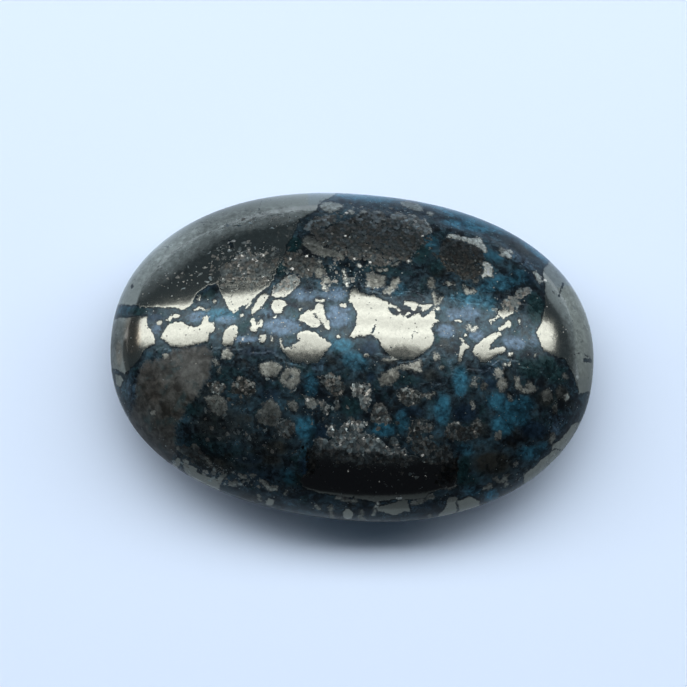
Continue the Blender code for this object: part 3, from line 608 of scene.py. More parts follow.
# The big dull patch in the lower left, with its sharp right side.
dullPatch = [
    (-12.95, -2.0), (-11.9, -1.95), (-11.0, -1.4), (-9.9, -1.25), (-8.9, -1.2), (-8.45, -1.6),
    (-8.5, -2.4), (-8.62, -3.2), (-9.1, -3.8), (-9.3, -4.3), (-9.9, -4.7), (-10.2, -5.4), (-10.9, -6.0),
    (-11.0, -7.0), (-11.2, -7.9), (-12.2, -8.6), (-14.5, -10.5), (-17.0, -7.0), (-14.9, -5.4),
    (-13.9, -4.6), (-13.75, -3.4), (-13.4, -2.6),
]

dome = {
    "mirrorShapes": mirrorPyrite, "satinShapes": satinPyrite, "mirrorLines": mirrorSlivers,
    "satinLines": satinSlivers, "mirrorDots": mirrorDots, "satinDots": satinDots, "gaps": gaps,
    "crust": crust, "paintedGlints": paintedGlints, "areas": areas, "dull": dullPatch,
}
# The flat back, in mm along and across it: the masses that reach the edge run on into it.
back = {
    "mirrorShapes": [], "mirrorLines": [], "mirrorDots": [],
    "satinShapes": [
        (0.8, [(-14.0, -2.6), (-11.6, -2.2), (-10.4, -1.0), (-10.9, 0.3), (-9.7, 1.1), (-9.9, 2.6),
          (-8.3, 3.3), (-7.9, 4.6), (-6.2, 5.2), (-5.6, 6.6), (-4.1, 7.1), (-3.6, 9.5), (-14.0, 9.5)]),
        (0.8, [(14.0, 3.9), (11.3, 3.1), (10.6, 1.9), (10.9, 0.6), (10.2, -0.5), (10.8, -1.4),
          (12.2, -1.9), (14.0, -2.2)]),
        (1.0, [(-3.2, 1.1), (-2.0, 2.3), (-0.3, 2.0), (0.9, 2.9), (2.3, 2.2), (2.1, 0.8), (3.0, -0.2),
          (1.6, -1.1), (0.2, -0.6), (-1.1, -1.3), (-2.4, -0.4)]),
        (0.9, [(5.6, -3.4), (6.8, -2.6), (8.0, -3.1), (7.9, -4.4), (6.7, -5.0), (5.7, -4.5)]),
        (0.7, [(-7.2, -5.6), (-6.0, -4.4), (-4.6, -4.7), (-4.4, -6.0), (-5.5, -6.6), (-6.8, -6.4)]),
        (1.0, [(5.2, 4.5), (6.4, 5.3), (7.6, 4.8), (7.2, 3.7), (6.0, 3.5)]),
        (0.9, [(-6.6, -0.8), (-5.7, 0.0), (-4.9, -0.6), (-5.3, -1.6), (-6.3, -1.7)]),
    ],
    "satinLines": [
        (0.9, 0.3, [(3.4, -7.2), (4.2, -6.2), (4.0, -5.2)]),
        (0.9, 0.25, [(-2.9, 5.2), (-1.6, 5.6), (-0.4, 5.2)]),
        (0.9, 0.2, [(8.4, 0.9), (9.0, 1.8), (8.8, 2.7)]), (0.8, 0.3, [(-9.0, -4.1), (-8.2, -3.2)]),
    ],
    "satinDots": [
        (1.0, 4.3, 0.9, 0.4, 0.3), (1.0, -0.6, -3.4, 0.5, 0.35), (0.9, 8.9, -1.4, 0.35, 0.5),
        (0.9, 2.1, 5.1, 0.4, 0.3), (1.0, -3.9, 3.5, 0.35, 0.45), (0.8, 1.4, -5.9, 0.5, 0.4),
    ],
    "gaps": [
        (0.25, [(-1.6, 0.9), (-0.6, 0.5), (0.6, 1.1)]), (0.2, [(-12.2, 2.1), (-11.2, 2.9), (-10.8, 4.2)]),
    ],
    "crust": [
        (0.7, [(-9.4, -0.4), (-8.2, 0.6), (-7.3, 0.2), (-7.6, -1.4), (-8.7, -1.8)]),
        (0.8, [(2.9, 3.3), (4.3, 3.0), (4.8, 1.9), (3.8, 1.7), (2.9, 2.3)]),
        (0.7, [(-3.5, -3.2), (-2.2, -2.3), (-1.4, -3.2), (-1.9, -4.6), (-3.2, -4.6)]),
        (0.6, [(8.7, -4.6), (9.8, -3.7), (10.5, -4.5), (9.7, -5.6)]),
        (0.7, [(-5.6, 2.4), (-4.6, 3.0), (-4.4, 1.7), (-5.2, 1.4)]),
    ],
    # painted highlights of single crystals on the back
    "paintedGlints": [(-8.2, -0.6, 0.2), (3.9, 2.4, 0.2), (-2.4, -3.6, 0.2), (9.6, -4.6, 0.2)],
    "areas": {
        "blue": [
            (4.6, -1.6, 1.6, 0.9, 30, 0.9), (-1.6, 4.0, 1.8, 0.8, -15, 0.8), (7.6, 1.4, 1.0, 1.2, 0, 0.7),
            (-5.8, -3.0, 1.3, 0.8, 20, 0.8), (1.0, -4.3, 1.2, 0.7, 0, 0.7),
        ],
        "mist": [(-7.6, 2.6, 1.0, 0.6, 0, 0.5), (4.4, 6.3, 1.2, 0.5, 0, 0.5)],
        "teal": [
            (-2.9, 6.7, 2.0, 0.8, 0, 0.8), (9.8, 4.9, 1.4, 1.0, 0, 0.8), (-9.9, -4.2, 1.6, 1.2, 0, 0.7),
        ],
        "navy": [
            (-4.2, 0.6, 1.0, 0.9, 0, 0.7), (3.2, -3.2, 1.4, 0.6, 0, 0.7), (9.2, -0.2, 0.7, 0.7, 0, 0.6),
        ],
        "brown": [
            (-0.4, -7.1, 2.6, 0.8, 0, 0.8), (7.2, -6.3, 1.6, 0.7, 0, 0.7), (1.5, 7.0, 1.8, 0.6, 0, 0.6),
        ],
        "rust": [(-6.5, 4.0, 0.8, 0.6, 0, 0.4), (0.2, -1.9, 0.8, 0.4, 0, 0.4)],
        "sprinkle": [],
        "etched": [],
        "dullLight": [],
    },
    "dull": [(0.0, -6.4), (2.9, -5.7), (4.9, -6.7), (4.4, -8.6), (-1.5, -8.8), (-3.4, -7.2)],
}


def smooth(value, low, high):
    t = np.clip((value - low) / (high - low), 0, 1)
    return t * t * (3 - 2 * t)


def lineDistance(u, v, start, end):
    du, dv = end[0] - start[0], end[1] - start[1]
    length = du * du + dv * dv
    t = np.clip(((u - start[0]) * du + (v - start[1]) * dv) / max(length, tiny), 0, 1)
    return np.hypot(u - start[0] - t * du, v - start[1] - t * dv)


def cornersDepth(u, v, corners):
    # how deep a point lies inside a shape with corners; outside it is below zero
    distance = np.full(u.shape, farAway)
    inside = np.zeros(u.shape, bool)
    for start, end in zip(corners, corners[1:] + corners[:1]):
        distance = np.minimum(distance, lineDistance(u, v, start, end))
        crosses = (start[1] > v) != (end[1] > v)
        rise = (end[1] - start[1]) if end[1] != start[1] else tiny
        inside ^= crosses & (u < (end[0] - start[0]) * (v - start[1]) / rise + start[0])
    return np.where(inside, distance, -distance)


def lineDepth(u, v, line):
    width, points = line
    distance = np.full(u.shape, farAway)
    for start, end in zip(points, points[1:]):
        distance = np.minimum(distance, lineDistance(u, v, start, end))
    return width / 2 - distance


def dotDepth(u, v, dot):
    middleU, middleV, along, across = dot
    share = np.hypot((u - middleU) / along, (v - middleV) / across)
    return (1 - share) * min(along, across)


def cornersReach(corners):
    us, vs = [c[0] for c in corners], [c[1] for c in corners]
    return min(us), max(us), min(vs), max(vs)


def lineReach(line):
    return cornersReach(line[1])


def dotReach(dot):
    return dot[0] - dot[2], dot[0] + dot[2], dot[1] - dot[3], dot[1] + dot[3]


def stamp(u, v, reachOf, depthOf, shape, margin=depthLimit):
    # works out one shape only near itself: the points it reaches, and its depth there
    lowU, highU, lowV, highV = reachOf(shape)
    inU = (u > lowU - margin) & (u < highU + margin)
    near = np.where(inU & (v > lowV - margin) & (v < highV + margin))[0]
    return near, depthOf(u[near], v[near], shape)


def paintPyrite(u, v, pattern):
    # depth inside the nearest piece of pyrite, whether that piece is satin, and how bright it is, a
    # brightness that holds painted light and shade as well as tone
    depth = np.full(u.shape, tooFar)
    satin, level = np.zeros(u.shape), np.ones(u.shape)
    layers = [
        ("mirrorShapes", cornersReach, cornersDepth, 0.0), ("satinShapes", cornersReach, cornersDepth, 1.0),
        ("mirrorLines", lineReach, lineDepth, 0.0), ("satinLines", lineReach, lineDepth, 1.0),
        ("mirrorDots", dotReach, dotDepth, 0.0), ("satinDots", dotReach, dotDepth, 1.0),
    ]
    for name, reachOf, depthOf, isSatin in layers:
        for toneAndPaintedLight, *shape in pattern[name]:
            shape = shape[0] if len(shape) == 1 else tuple(shape)
            near, here = stamp(u, v, reachOf, depthOf, shape)
            better = here > depth[near]
            if isSatin:   # a satin flake inside a mirror mass still shows
                better |= here > 0
            depth[near[better]] = here[better]
            satin[near[better]] = isSatin
            level[near[better]] = toneAndPaintedLight
    for gap in pattern["gaps"]:
        near, here = stamp(u, v, lineReach, lineDepth, gap)
        depth[near] = np.minimum(depth[near], -here)
    return np.clip(depth, -depthLimit, depthLimit), satin, level


def paintCrust(u, v, pattern):
    depth, level = np.full(u.shape, -depthLimit), np.ones(u.shape)
    for toneAndPaintedLight, corners in pattern["crust"]:
        near, here = stamp(u, v, cornersReach, cornersDepth, corners)
        better = here > depth[near]
        depth[near[better]] = here[better]
        level[near[better]] = toneAndPaintedLight
    return np.clip(depth, -depthLimit, depthLimit), level


def paintGlints(u, v, pattern):
    depth = np.full(u.shape, -depthLimit)
    for middleU, middleV, radius in pattern["paintedGlints"]:
        near, here = stamp(u, v, dotReach, dotDepth, (middleU, middleV, radius, radius))
        depth[near] = np.maximum(depth[near], here)
    return depth


def paintAreas(u, v, spots):
    strength = np.zeros(u.shape)
    for middleU, middleV, along, across, turn, most in spots:
        c, s = math.cos(math.radians(turn)), math.sin(math.radians(turn))
        du, dv = u - middleU, v - middleV
        reach = np.hypot((du * c + dv * s) / along, (dv * c - du * s) / across)
        strength = np.maximum(strength, most * (1 - smooth(reach, *areaFade)))
    return strength


def paintPattern(u, v, pattern):
    # every field of the finish, worked out at these points
    fields = {}
    fields["pyriteDepth"], fields["satin"], fields["pyriteToneAndLight"] = paintPyrite(u, v, pattern)
    fields["crustDepth"], fields["crustToneAndLight"] = paintCrust(u, v, pattern)
    fields["glintDepth"] = paintGlints(u, v, pattern)
    for name, spots in pattern["areas"].items():
        fields[name] = paintAreas(u, v, spots)
    dullDepth = cornersDepth(u, v, pattern["dull"])
    fields["dullDepth"] = np.clip(dullDepth, -depthLimit, depthLimit)
    return fields


def buildDome(length, width, height):
    # places in mm on the dome: x, y, z, and the surface coordinates u, v
    table = girdleRadii(length, width)
    share, angle = discOfSquares(stone["squaresAlong"], stone["squaresAcross"])
    radius = radiusAt(angle, table)
    turn, arc = domeTurn(share, radius, height)
    x = radius * np.sin(turn) * np.cos(angle)
    y = radius * np.sin(turn) * np.sin(angle)
    z = stone["girdleHeight"] + height * np.cos(turn)
    u, v = share * arc * np.cos(angle), share * arc * np.sin(angle)
    normal = np.stack([x / radius ** 2, y / radius ** 2, (z - stone["girdleHeight"]) / height ** 2])
    normal /= np.linalg.norm(normal, axis=0)
    return np.stack([x, y, z]), normal, u, v, share


def polishLift(u, v, share, depth):
    # the slow waves of hand polishing, and the pyrite standing a little proud
    waves = sum(np.sin(alongU * u + alongV * v + start) for alongU, alongV, start in stone["waves"])
    proud = smooth(depth, -stone["prideEdge"], stone["prideEdge"]) - 1
    lift = stone["waveHeight"] / len(stone["waves"]) * waves + stone["prideOfPyrite"] * proud
    for middleU, middleV, halfLength, halfWidth, rise in stone["swells"]:
        reach = ((u - middleU) / halfLength) ** 2 + ((v - middleV) / halfWidth) ** 2
        lift = lift + rise * np.exp(-2 * reach)
    return lift * (1 - smooth(share, *stone["waveFade"]))


def edgeLoop(along, across):
    # the disc's outer points in order, anticlockwise
    row = along + 1
    bottom = list(range(along))
    right = [j * row + along for j in range(across)]
    top = [across * row + i for i in range(along, 0, -1)]
    left = [j * row for j in range(across, 0, -1)]
    return bottom + right + top + left


def squareFaces(along, across, first):
    row = along + 1
    faces = []
    for j in range(across):
        for i in range(along):
            corner = first + j * row + i
            faces.append((corner, corner + 1, corner + row + 1, corner + row))
    return faces


def buildStone():
    low, high = (np.array(corner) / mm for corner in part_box(stone["node"]))
    length = high[0] - low[0] - stone["sideAllowance"]
    width = high[1] - low[1] - stone["sideAllowance"]
    height = high[2] - stone["girdleHeight"] - stone["crownAllowance"]
    place, normal, u, v, share = buildDome(length, width, height)
    place = place + normal * polishLift(u, v, share, paintPyrite(u, v, dome)[0])
    along, across = stone["squaresAlong"], stone["squaresAcross"]
    faces = squareFaces(along, across, 0)

    # the wall, ring by ring down from the girdle
    rim = np.array(edgeLoop(along, across))
    rimX, rimY = place[0][rim], place[1][rim]
    rimRadius = np.hypot(rimX, rimY)
    rimAngle = np.arctan2(rimY, rimX)
    chartRadius = np.hypot(u[rim], v[rim])
    points, chartU, chartV = [place.T], [u], [v]
    count = len(u)
    above = list(rim)
    travelled, lastInset, lastHeight = 0.0, 0.0, stone["girdleHeight"]
    for inset, ringHeight in stone["wall"]:
        travelled += math.hypot(inset - lastInset, ringHeight - lastHeight)
        lastInset, lastHeight = inset, ringHeight
        scale = 1 - inset / rimRadius
        level = np.full(len(rim), ringHeight)
        points.append(np.stack([rimX * scale, rimY * scale, level], axis=1))
        chartU.append((chartRadius + travelled) * np.cos(rimAngle))
        chartV.append((chartRadius + travelled) * np.sin(rimAngle))
        below = list(range(count, count + len(rim)))
        nextBelow, nextAbove = below[1:] + below[:1], above[1:] + above[:1]
        faces += list(zip(below, nextBelow, nextAbove, above))
        above, count = below, count + len(rim)
    wallPoints, wallFaces = count, len(faces)

    # the flat back, in coarser squares, each outer one joined to four of the wall's
    backAlong, backAcross = stone["backSquares"]
    backShare, backAngle = discOfSquares(backAlong, backAcross)
    backRadius = radiusAt(backAngle, girdleRadii(length, width)) - stone["backMargin"]
    backX, backY = backShare * backRadius * np.cos(backAngle), backShare * backRadius * np.sin(backAngle)
    points.append(np.stack([backX, backY, np.zeros(len(backX))], axis=1))
    chartU.append(backX)
    chartV.append(backY)
    faces += [face[::-1] for face in squareFaces(backAlong, backAcross, count)]
    backRim = [count + i for i in edgeLoop(backAlong, backAcross)]
    for i, corner in enumerate(backRim):
        outer = [above[(4 * i + step) % len(above)] for step in (4, 3, 2, 1, 0)]
        faces.append((corner, backRim[(i + 1) % len(backRim)], *outer))

    points = np.concatenate(points)
    mesh = bpy.data.meshes.new("polishedStone")
    mesh.from_pydata((points * mm).tolist(), [], faces)
    mesh.update()
    piece = bpy.data.objects.new("polishedStone", mesh)
    bpy.context.scene.collection.objects.link(piece)
    print("stone mesh", len(points), "points", len(faces), "faces")
    parts = {"dome": len(u), "wall": wallPoints, "wallFaces": wallFaces}
    return piece, points, np.concatenate(chartU), np.concatenate(chartV), parts


# One map for the whole stone, this many mm wide: dome and wall are unrolled round the crown, and
# the back is an island below, at a smaller scale.
surfaceMap = {"width": 42.4, "crown": (0.5, 0.598), "backScale": 0.44, "back": (0.18, 0.1)}


def layOutSurface(mesh, points, chartU, chartV, parts):
    scale = 1 / surfaceMap["width"]
    backScale = surfaceMap["backScale"] * scale
    crownX, crownY = surfaceMap["crown"]
    backX, backY = surfaceMap["back"]
    layer = mesh.uv_layers.new(name="OFBake")
    vertexOf = np.zeros(len(mesh.loops), dtype=int)
    mesh.loops.foreach_get("vertex_index", vertexOf)
    uv = np.stack([crownX + chartU[vertexOf] * scale, crownY + chartV[vertexOf] * scale], axis=1)
    firstBack = mesh.polygons[parts["wallFaces"]].loop_start
    flat = points[vertexOf[firstBack:]]
    uv[firstBack:, 0] = backX + flat[:, 0] * backScale
    uv[firstBack:, 1] = backY + flat[:, 1] * backScale
    layer.data.foreach_set("uv", uv.astype(np.float32).ravel())


def storeField(mesh, name, values):
    field = mesh.attributes.new(name, "FLOAT", "POINT")
    field.data.foreach_set("value", np.asarray(values, dtype=np.float32))


def paintStone(mesh, chartU, chartV, parts):
    wall = parts["wall"]
    above = paintPattern(chartU[:wall], chartV[:wall], dome)
    below = paintPattern(chartU[wall:], chartV[wall:], back)
    for name in above:
        storeField(mesh, name, np.concatenate([above[name], below[name]]))
    sawn = np.zeros(len(chartU))
    sawn[parts["dome"]:wall] = stone["wallGrooves"]
    sawn[wall:] = 1.0
    storeField(mesh, "sawn", sawn)


# Small helpers for building a material's nodes.
def addNode(tree, kind, inputs=None, **settings):
    made = tree.nodes.new(kind)
    for name, value in settings.items():
        setattr(made, name, value)
    for name, value in (inputs or {}).items():
        if isinstance(value, bpy.types.NodeSocket):
            tree.links.new(value, made.inputs[name])
        else:
            made.inputs[name].default_value = value
    return made


def maths(tree, operation, first, second=0.0):
    return addNode(tree, "ShaderNodeMath", {0: first, 1: second}, operation=operation).outputs[0]


def times(tree, *values):
    product = values[0]
    for value in values[1:]:
        product = maths(tree, "MULTIPLY", product, value)
    return product


def plus(tree, *values):
    total = values[0]
    for value in values[1:]:
        total = maths(tree, "ADD", total, value)
    return total


def larger(tree, *values):
    most = values[0]
    for value in values[1:]:
        most = maths(tree, "MAXIMUM", most, value)
    return most


def rest(tree, value):
    return maths(tree, "SUBTRACT", 1.0, value)


def centred(tree, value):
    return maths(tree, "SUBTRACT", value, 0.5)


def ranged(tree, value, low, high, toLow=0.0, toHigh=1.0):
    names = {"Value": value, "From Min": low, "From Max": high, "To Min": toLow, "To Max": toHigh}
    return addNode(tree, "ShaderNodeMapRange", names, clamp=True).outputs[0]


def mixColour(tree, factor, first, second, blend="MIX"):
    names = {0: factor, 6: first, 7: second}
    return addNode(tree, "ShaderNodeMix", names, data_type="RGBA", blend_type=blend).outputs[2]


def mixValue(tree, factor, first, second):
    return addNode(tree, "ShaderNodeMix", {0: factor, 2: first, 3: second}, data_type="FLOAT").outputs[0]


def vector(tree, operation, first, second=(0, 0, 0)):
    names = {0: first, 1: second}
    return addNode(tree, "ShaderNodeVectorMath", names, operation=operation).outputs[0]


def scaled(tree, first, factor):
    return addNode(tree, "ShaderNodeVectorMath", {0: first, "Scale": factor}, operation="SCALE").outputs[0]


def field(tree, name):
    return addNode(tree, "ShaderNodeAttribute", attribute_name=name).outputs["Fac"]


def noise(tree, place, scale, detail, roughness, distortion=0.0):
    names = {"Vector": place, "Scale": scale, "Detail": detail, "Roughness": roughness}
    names["Distortion"] = distortion
    return addNode(tree, "ShaderNodeTexNoise", names).outputs[0]


def cells(tree, place, scale, feature="F1"):
    return addNode(tree, "ShaderNodeTexVoronoi", {"Vector": place, "Scale": scale}, feature=feature).outputs


def channels(tree, colour):
    return addNode(tree, "ShaderNodeSeparateColor", {0: colour}).outputs


# The noises behind the finish: features for each mm, detail, roughness, distortion.
noises = {
    "slow": (0.42, 4.0, 0.6, 0.0),
    "quick": (1.7, 5.0, 0.64, 0.6),
    "lively": (5.0, 3.0, 0.65, 0.0),
    "wander": (4.5, 4.0, 0.7, 0.0),
}
# These are read a few mm away, so that they don't follow the first ones.
shiftedNoises = {
    "hue": (1.15, 4.0, 0.6, 0.4),
    "mottle": (3.0, 3.0, 0.6, 0.0),
    "etching": (1.4, 5.0, 0.6, 0.0),
}
noiseShift = (37, 11, 5)
# The finish. Colours are linear, scales are in features for each mm, wanders and edges in mm. A
# window is two values of what it looks at, and where they aren't 0 and 1, what it makes of them.
finish = {
    "ink": (0.0150, 0.0195, 0.0235, 1),
    "slate": (0.0290, 0.0560, 0.0690, 1),
    "pale": (0.044, 0.110, 0.150, 1),
    "navy": (0.0120, 0.0260, 0.0430, 1),
    "sky": (0.0330, 0.140, 0.200, 1),
    # paler blue, partly painted sheen of the overhead light band
    "mist": (0.069, 0.122, 0.176, 1),
    "teal": (0.0120, 0.0340, 0.0360, 1),
    "brown": (0.0270, 0.0285, 0.0240, 1),
    "rust": (0.0330, 0.0230, 0.0150, 1),
    "rustyPyrite": (0.330, 0.255, 0.180, 1),
    "dull": (0.0130, 0.0122, 0.0092, 1),
    "dullPale": (0.070, 0.071, 0.062, 1),
    "seam": (0.0040, 0.0060, 0.0070, 1),
    "pyrite": (0.286, 0.284, 0.243, 1),
    # painted highlight colour for single crystals that catch the lamp
    "paintedGlint": (0.62, 0.60, 0.53, 1),
    "crust": (0.258, 0.288, 0.272, 1),
    "warmCrust": (0.288, 0.272, 0.236, 1),
    "stoneIor": 1.46,
    "grainScale": 4.3,
    "speckScale": 9.0,
    # flakes: how far a mirror's and a satin edge stray, how soft they are, and their pits
    "edgeWander": (0.40, 0.62),
    "edgeSoftness": (0.018, 0.09),
    "satinPits": (0.62, 0.68),
    "pitsAtEdge": (0.40, 0.10),
    "satinPitting": 0.8,
    "anyPits": (0.68, 0.71),
    "etchedPits": (0.60, 0.66),
    "etchedPitting": 0.7,
    # crust: how uneven and wandering its edge is, and its holes
    "unrest": 0.3,
    "crustWander": 0.55,
    "crustEdge": (-0.03, 0.03),
    "crustHoles": (0.33, 0.38),
    # specks and grains: the share of the cells that hold one, and where they lie
    "sprinklePatches": (0.35, 0.6, 0.4, 1.0),
    "specksInMist": 0.07,
    "specksInSprinkle": 0.40,
    "specksAnywhere": 0.016,
    "speckRadius": 0.40,
    "grainsInSprinkle": 0.6,
    "grainCore": (0.03, 0.07),
    # painted highlights of single crystals
    "glintWander": 0.3,
    "glintShrink": -0.03,
    "glintEdge": (-0.02, 0.03),
    # the torn edge of a soft area
    "quickTear": 1.3,
    "livelyTear": 0.3,
    "tearWithin": (0.0, 0.3),
    "tornEdge": (0.15, 0.85),
    # tones of the turquoise
    "toneShares": {"slow": 0.8, "quick": 1.1, "lively": 0.2},
    "slateTone": (0.86, 1.24),
    "paleTone": (1.20, 1.45, 0.0, 0.8),
    "tealHue": (0.55, 0.66, 0.0, 0.65),
    "brownHue": (0.45, 0.36, 0.0, 0.45),
    "navyShare": 0.85,
    "bluePatches": (0.3, 0.62, 0.35, 1.0),
    "mistPatches": (0.35, 0.6, 0.5, 1.0),
    "fineSpeckle": (0.3, 0.7, 0.68, 1.38),
    "coarseSpeckle": (0.3, 0.7, 0.75, 1.25),
    # the dull patch and rust
    "dullWander": 0.9,
    "dullEdge": (-0.15, 0.15),
    "dullTone": (0.40, 0.75),
    "dullPaleShare": 0.5,
    "dullTeal": (0.54, 0.66, 0.0, 0.5),
    "rustPatches": (0.35, 0.6, 0.3, 1.0),
    "rustShare": 0.7,
    "rustyPyriteShare": 0.8,
    # the seam round each flake
    "seamReach": (-0.16, -0.03),
    "seamBreaks": (0.42, 0.54),
    "seamShare": 0.85,
    # how metallic the ground is: this keeps its gloss low beside the pyrite's
    "inkMetal": (1.20, 0.90, 0.42, 0.75),
    "mistMetal": 0.15,
    "seamMetal": 0.75,
    "glintMetal": 0.4,
    # tones of the pyrite
    "etchedLine": (0.004, 0.010, 0.6, 1.0),
    "pebbleEdge": (0.0, 0.05, 0.6, 1.06),
    "pebbleTone": (0.3, 0.7, 0.6, 1.4),
    "pebblePatches": (0.3, 0.7, 0.85, 1.5),
    "finePatches": (0.3, 0.7, 0.68, 1.32),
    "coarsePatches": (0.3, 0.7, 0.75, 1.25),
    "crackleEdge": (0.0, 0.03, 0.88, 1.0),
    "crackleTone": (0.3, 0.7, 0.92, 1.06),
    "crumbTone": (0.0, 1.0, 0.6, 1.3),
    "crumbGrit": (0.35, 0.68, 0.6, 1.38),
    "crumbGaps": (0.0, 0.07, 0.58, 1.07),
    "crumbWarmth": (0.35, 0.75),
    # roughness
    "stoneRoughness": (0.38, 0.62, 0.12, 0.27),
    "mistRoughness": 0.12,
    "dullRoughness": 0.40,
    "sawnRoughness": 0.45,
    "mirrorRoughness": 0.125,
    "satinRoughness": 0.37,
    "crustRoughness": 0.40,
    "cloudPatches": (0.32, 0.62, 0.3, 1.1),
    "cloudGrit": (0.3, 0.65, 0.4, 1.2),
    "cloudShare": (0.25, 1.1, 0.0, 0.7),
    # relief: the lean of the grains, the share of each layer in the height, and mm
    "grainTilt": 0.17,
    "flakeTilt": (0.04, 0.30),
    "steepGrains": (0.90, 0.92, 1.0, 2.6),
    "flakeHeight": 0.6,
    "groundHeight": 0.5,
    "crumbHeight": 0.3,
    "fineEtching": 1.1,
    "coarseEtching": 1.4,
    "reliefStrength": 0.35,
    "reliefDepth": 0.012,
    "sawMarks": {"Scale": 1.6, "Distortion": 0.6, "Detail": 1.0},
    "sawStrength": 0.3,
    "sawDepth": 0.006,
}


def window(tree, value, name):
    return ranged(tree, value, *finish[name])


def makeTextures(tree):
    # the noises and cells that the material's parts share, all in mm on the stone
    objectPlace = addNode(tree, "ShaderNodeTexCoord").outputs["Object"]
    place = vector(tree, "MULTIPLY", objectPlace, (1 / mm, 1 / mm, 1 / mm))
    shifted = vector(tree, "ADD", place, noiseShift)
    textures = {"place": place}
    for name, settings in noises.items():
        textures[name] = noise(tree, place, *settings)
    for name, settings in shiftedNoises.items():
        textures[name] = noise(tree, shifted, *settings)
    textures["wander"] = centred(tree, textures["wander"])
    for name in ("grain", "speck"):
        textures[name] = cells(tree, place, finish[name + "Scale"])
        textures[name + "Random"] = channels(tree, textures[name]["Color"])
    textures["grainEdge"] = cells(tree, place, finish["grainScale"], "DISTANCE_TO_EDGE")[0]
    return textures


def markPyrite(tree, textures):
    # where there is pyrite: flakes with a wandering edge, crumbly crust, specks, and painted highlights on
    # single crystals
    wander, lively = textures["wander"], textures["lively"]
    quick, mottle = textures["quick"], textures["mottle"]
    satin, etched = field(tree, "satin"), field(tree, "etched")
    stray = mixValue(tree, satin, *finish["edgeWander"])
    depth = plus(tree, field(tree, "pyriteDepth"), times(tree, wander, stray))
    pits = times(tree, window(tree, lively, "satinPits"), window(tree, depth, "pitsAtEdge"), satin)
    pits = larger(tree, times(tree, pits, finish["satinPitting"]), window(tree, mottle, "anyPits"))
    etchedPits = times(tree, window(tree, quick, "etchedPits"), etched, finish["etchedPitting"])
    softness = mixValue(tree, satin, *finish["edgeSoftness"])
    flake = ranged(tree, depth, times(tree, softness, -1.0), softness)
    flake = times(tree, flake, rest(tree, larger(tree, pits, etchedPits)))

    unrest = times(tree, centred(tree, lively), finish["unrest"])
    crustStray = times(tree, wander, finish["crustWander"])
    crustDepth = plus(tree, field(tree, "crustDepth"), crustStray, unrest)
    crust = times(tree, window(tree, crustDepth, "crustEdge"), window(tree, mottle, "crustHoles"))

    sprinkle = times(tree, field(tree, "sprinkle"), window(tree, quick, "sprinklePatches"))
    inMist = times(tree, field(tree, "mist"), finish["specksInMist"])
    inSprinkle = times(tree, sprinkle, finish["specksInSprinkle"])
    share = plus(tree, inMist, inSprinkle, finish["specksAnywhere"])
    core = maths(tree, "LESS_THAN", textures["speck"]["Distance"], finish["speckRadius"])
    speck = times(tree, maths(tree, "LESS_THAN", textures["speckRandom"][1], share), core)
    grainShare = times(tree, sprinkle, finish["grainsInSprinkle"])
    grain = maths(tree, "LESS_THAN", textures["grainRandom"][0], grainShare)
    grain = times(tree, grain, window(tree, textures["grainEdge"], "grainCore"))
    speck = times(tree, larger(tree, speck, grain), rest(tree, field(tree, "sawn")))

    glintStray = times(tree, wander, finish["glintWander"])
    glintDepth = plus(tree, field(tree, "glintDepth"), unrest, glintStray, finish["glintShrink"])
    paintedGlint = window(tree, glintDepth, "glintEdge")
    return {"depth": depth, "flake": flake, "crust": crust, "speck": speck, "paintedGlint": paintedGlint}


def ragged(tree, textures, name):
    # an area's strength with a torn edge
    strength = field(tree, name)
    quick = times(tree, centred(tree, textures["quick"]), finish["quickTear"])
    lively = times(tree, centred(tree, textures["lively"]), finish["livelyTear"])
    tear = times(tree, plus(tree, quick, lively), window(tree, strength, "tearWithin"))
    return window(tree, plus(tree, strength, tear), "tornEdge")


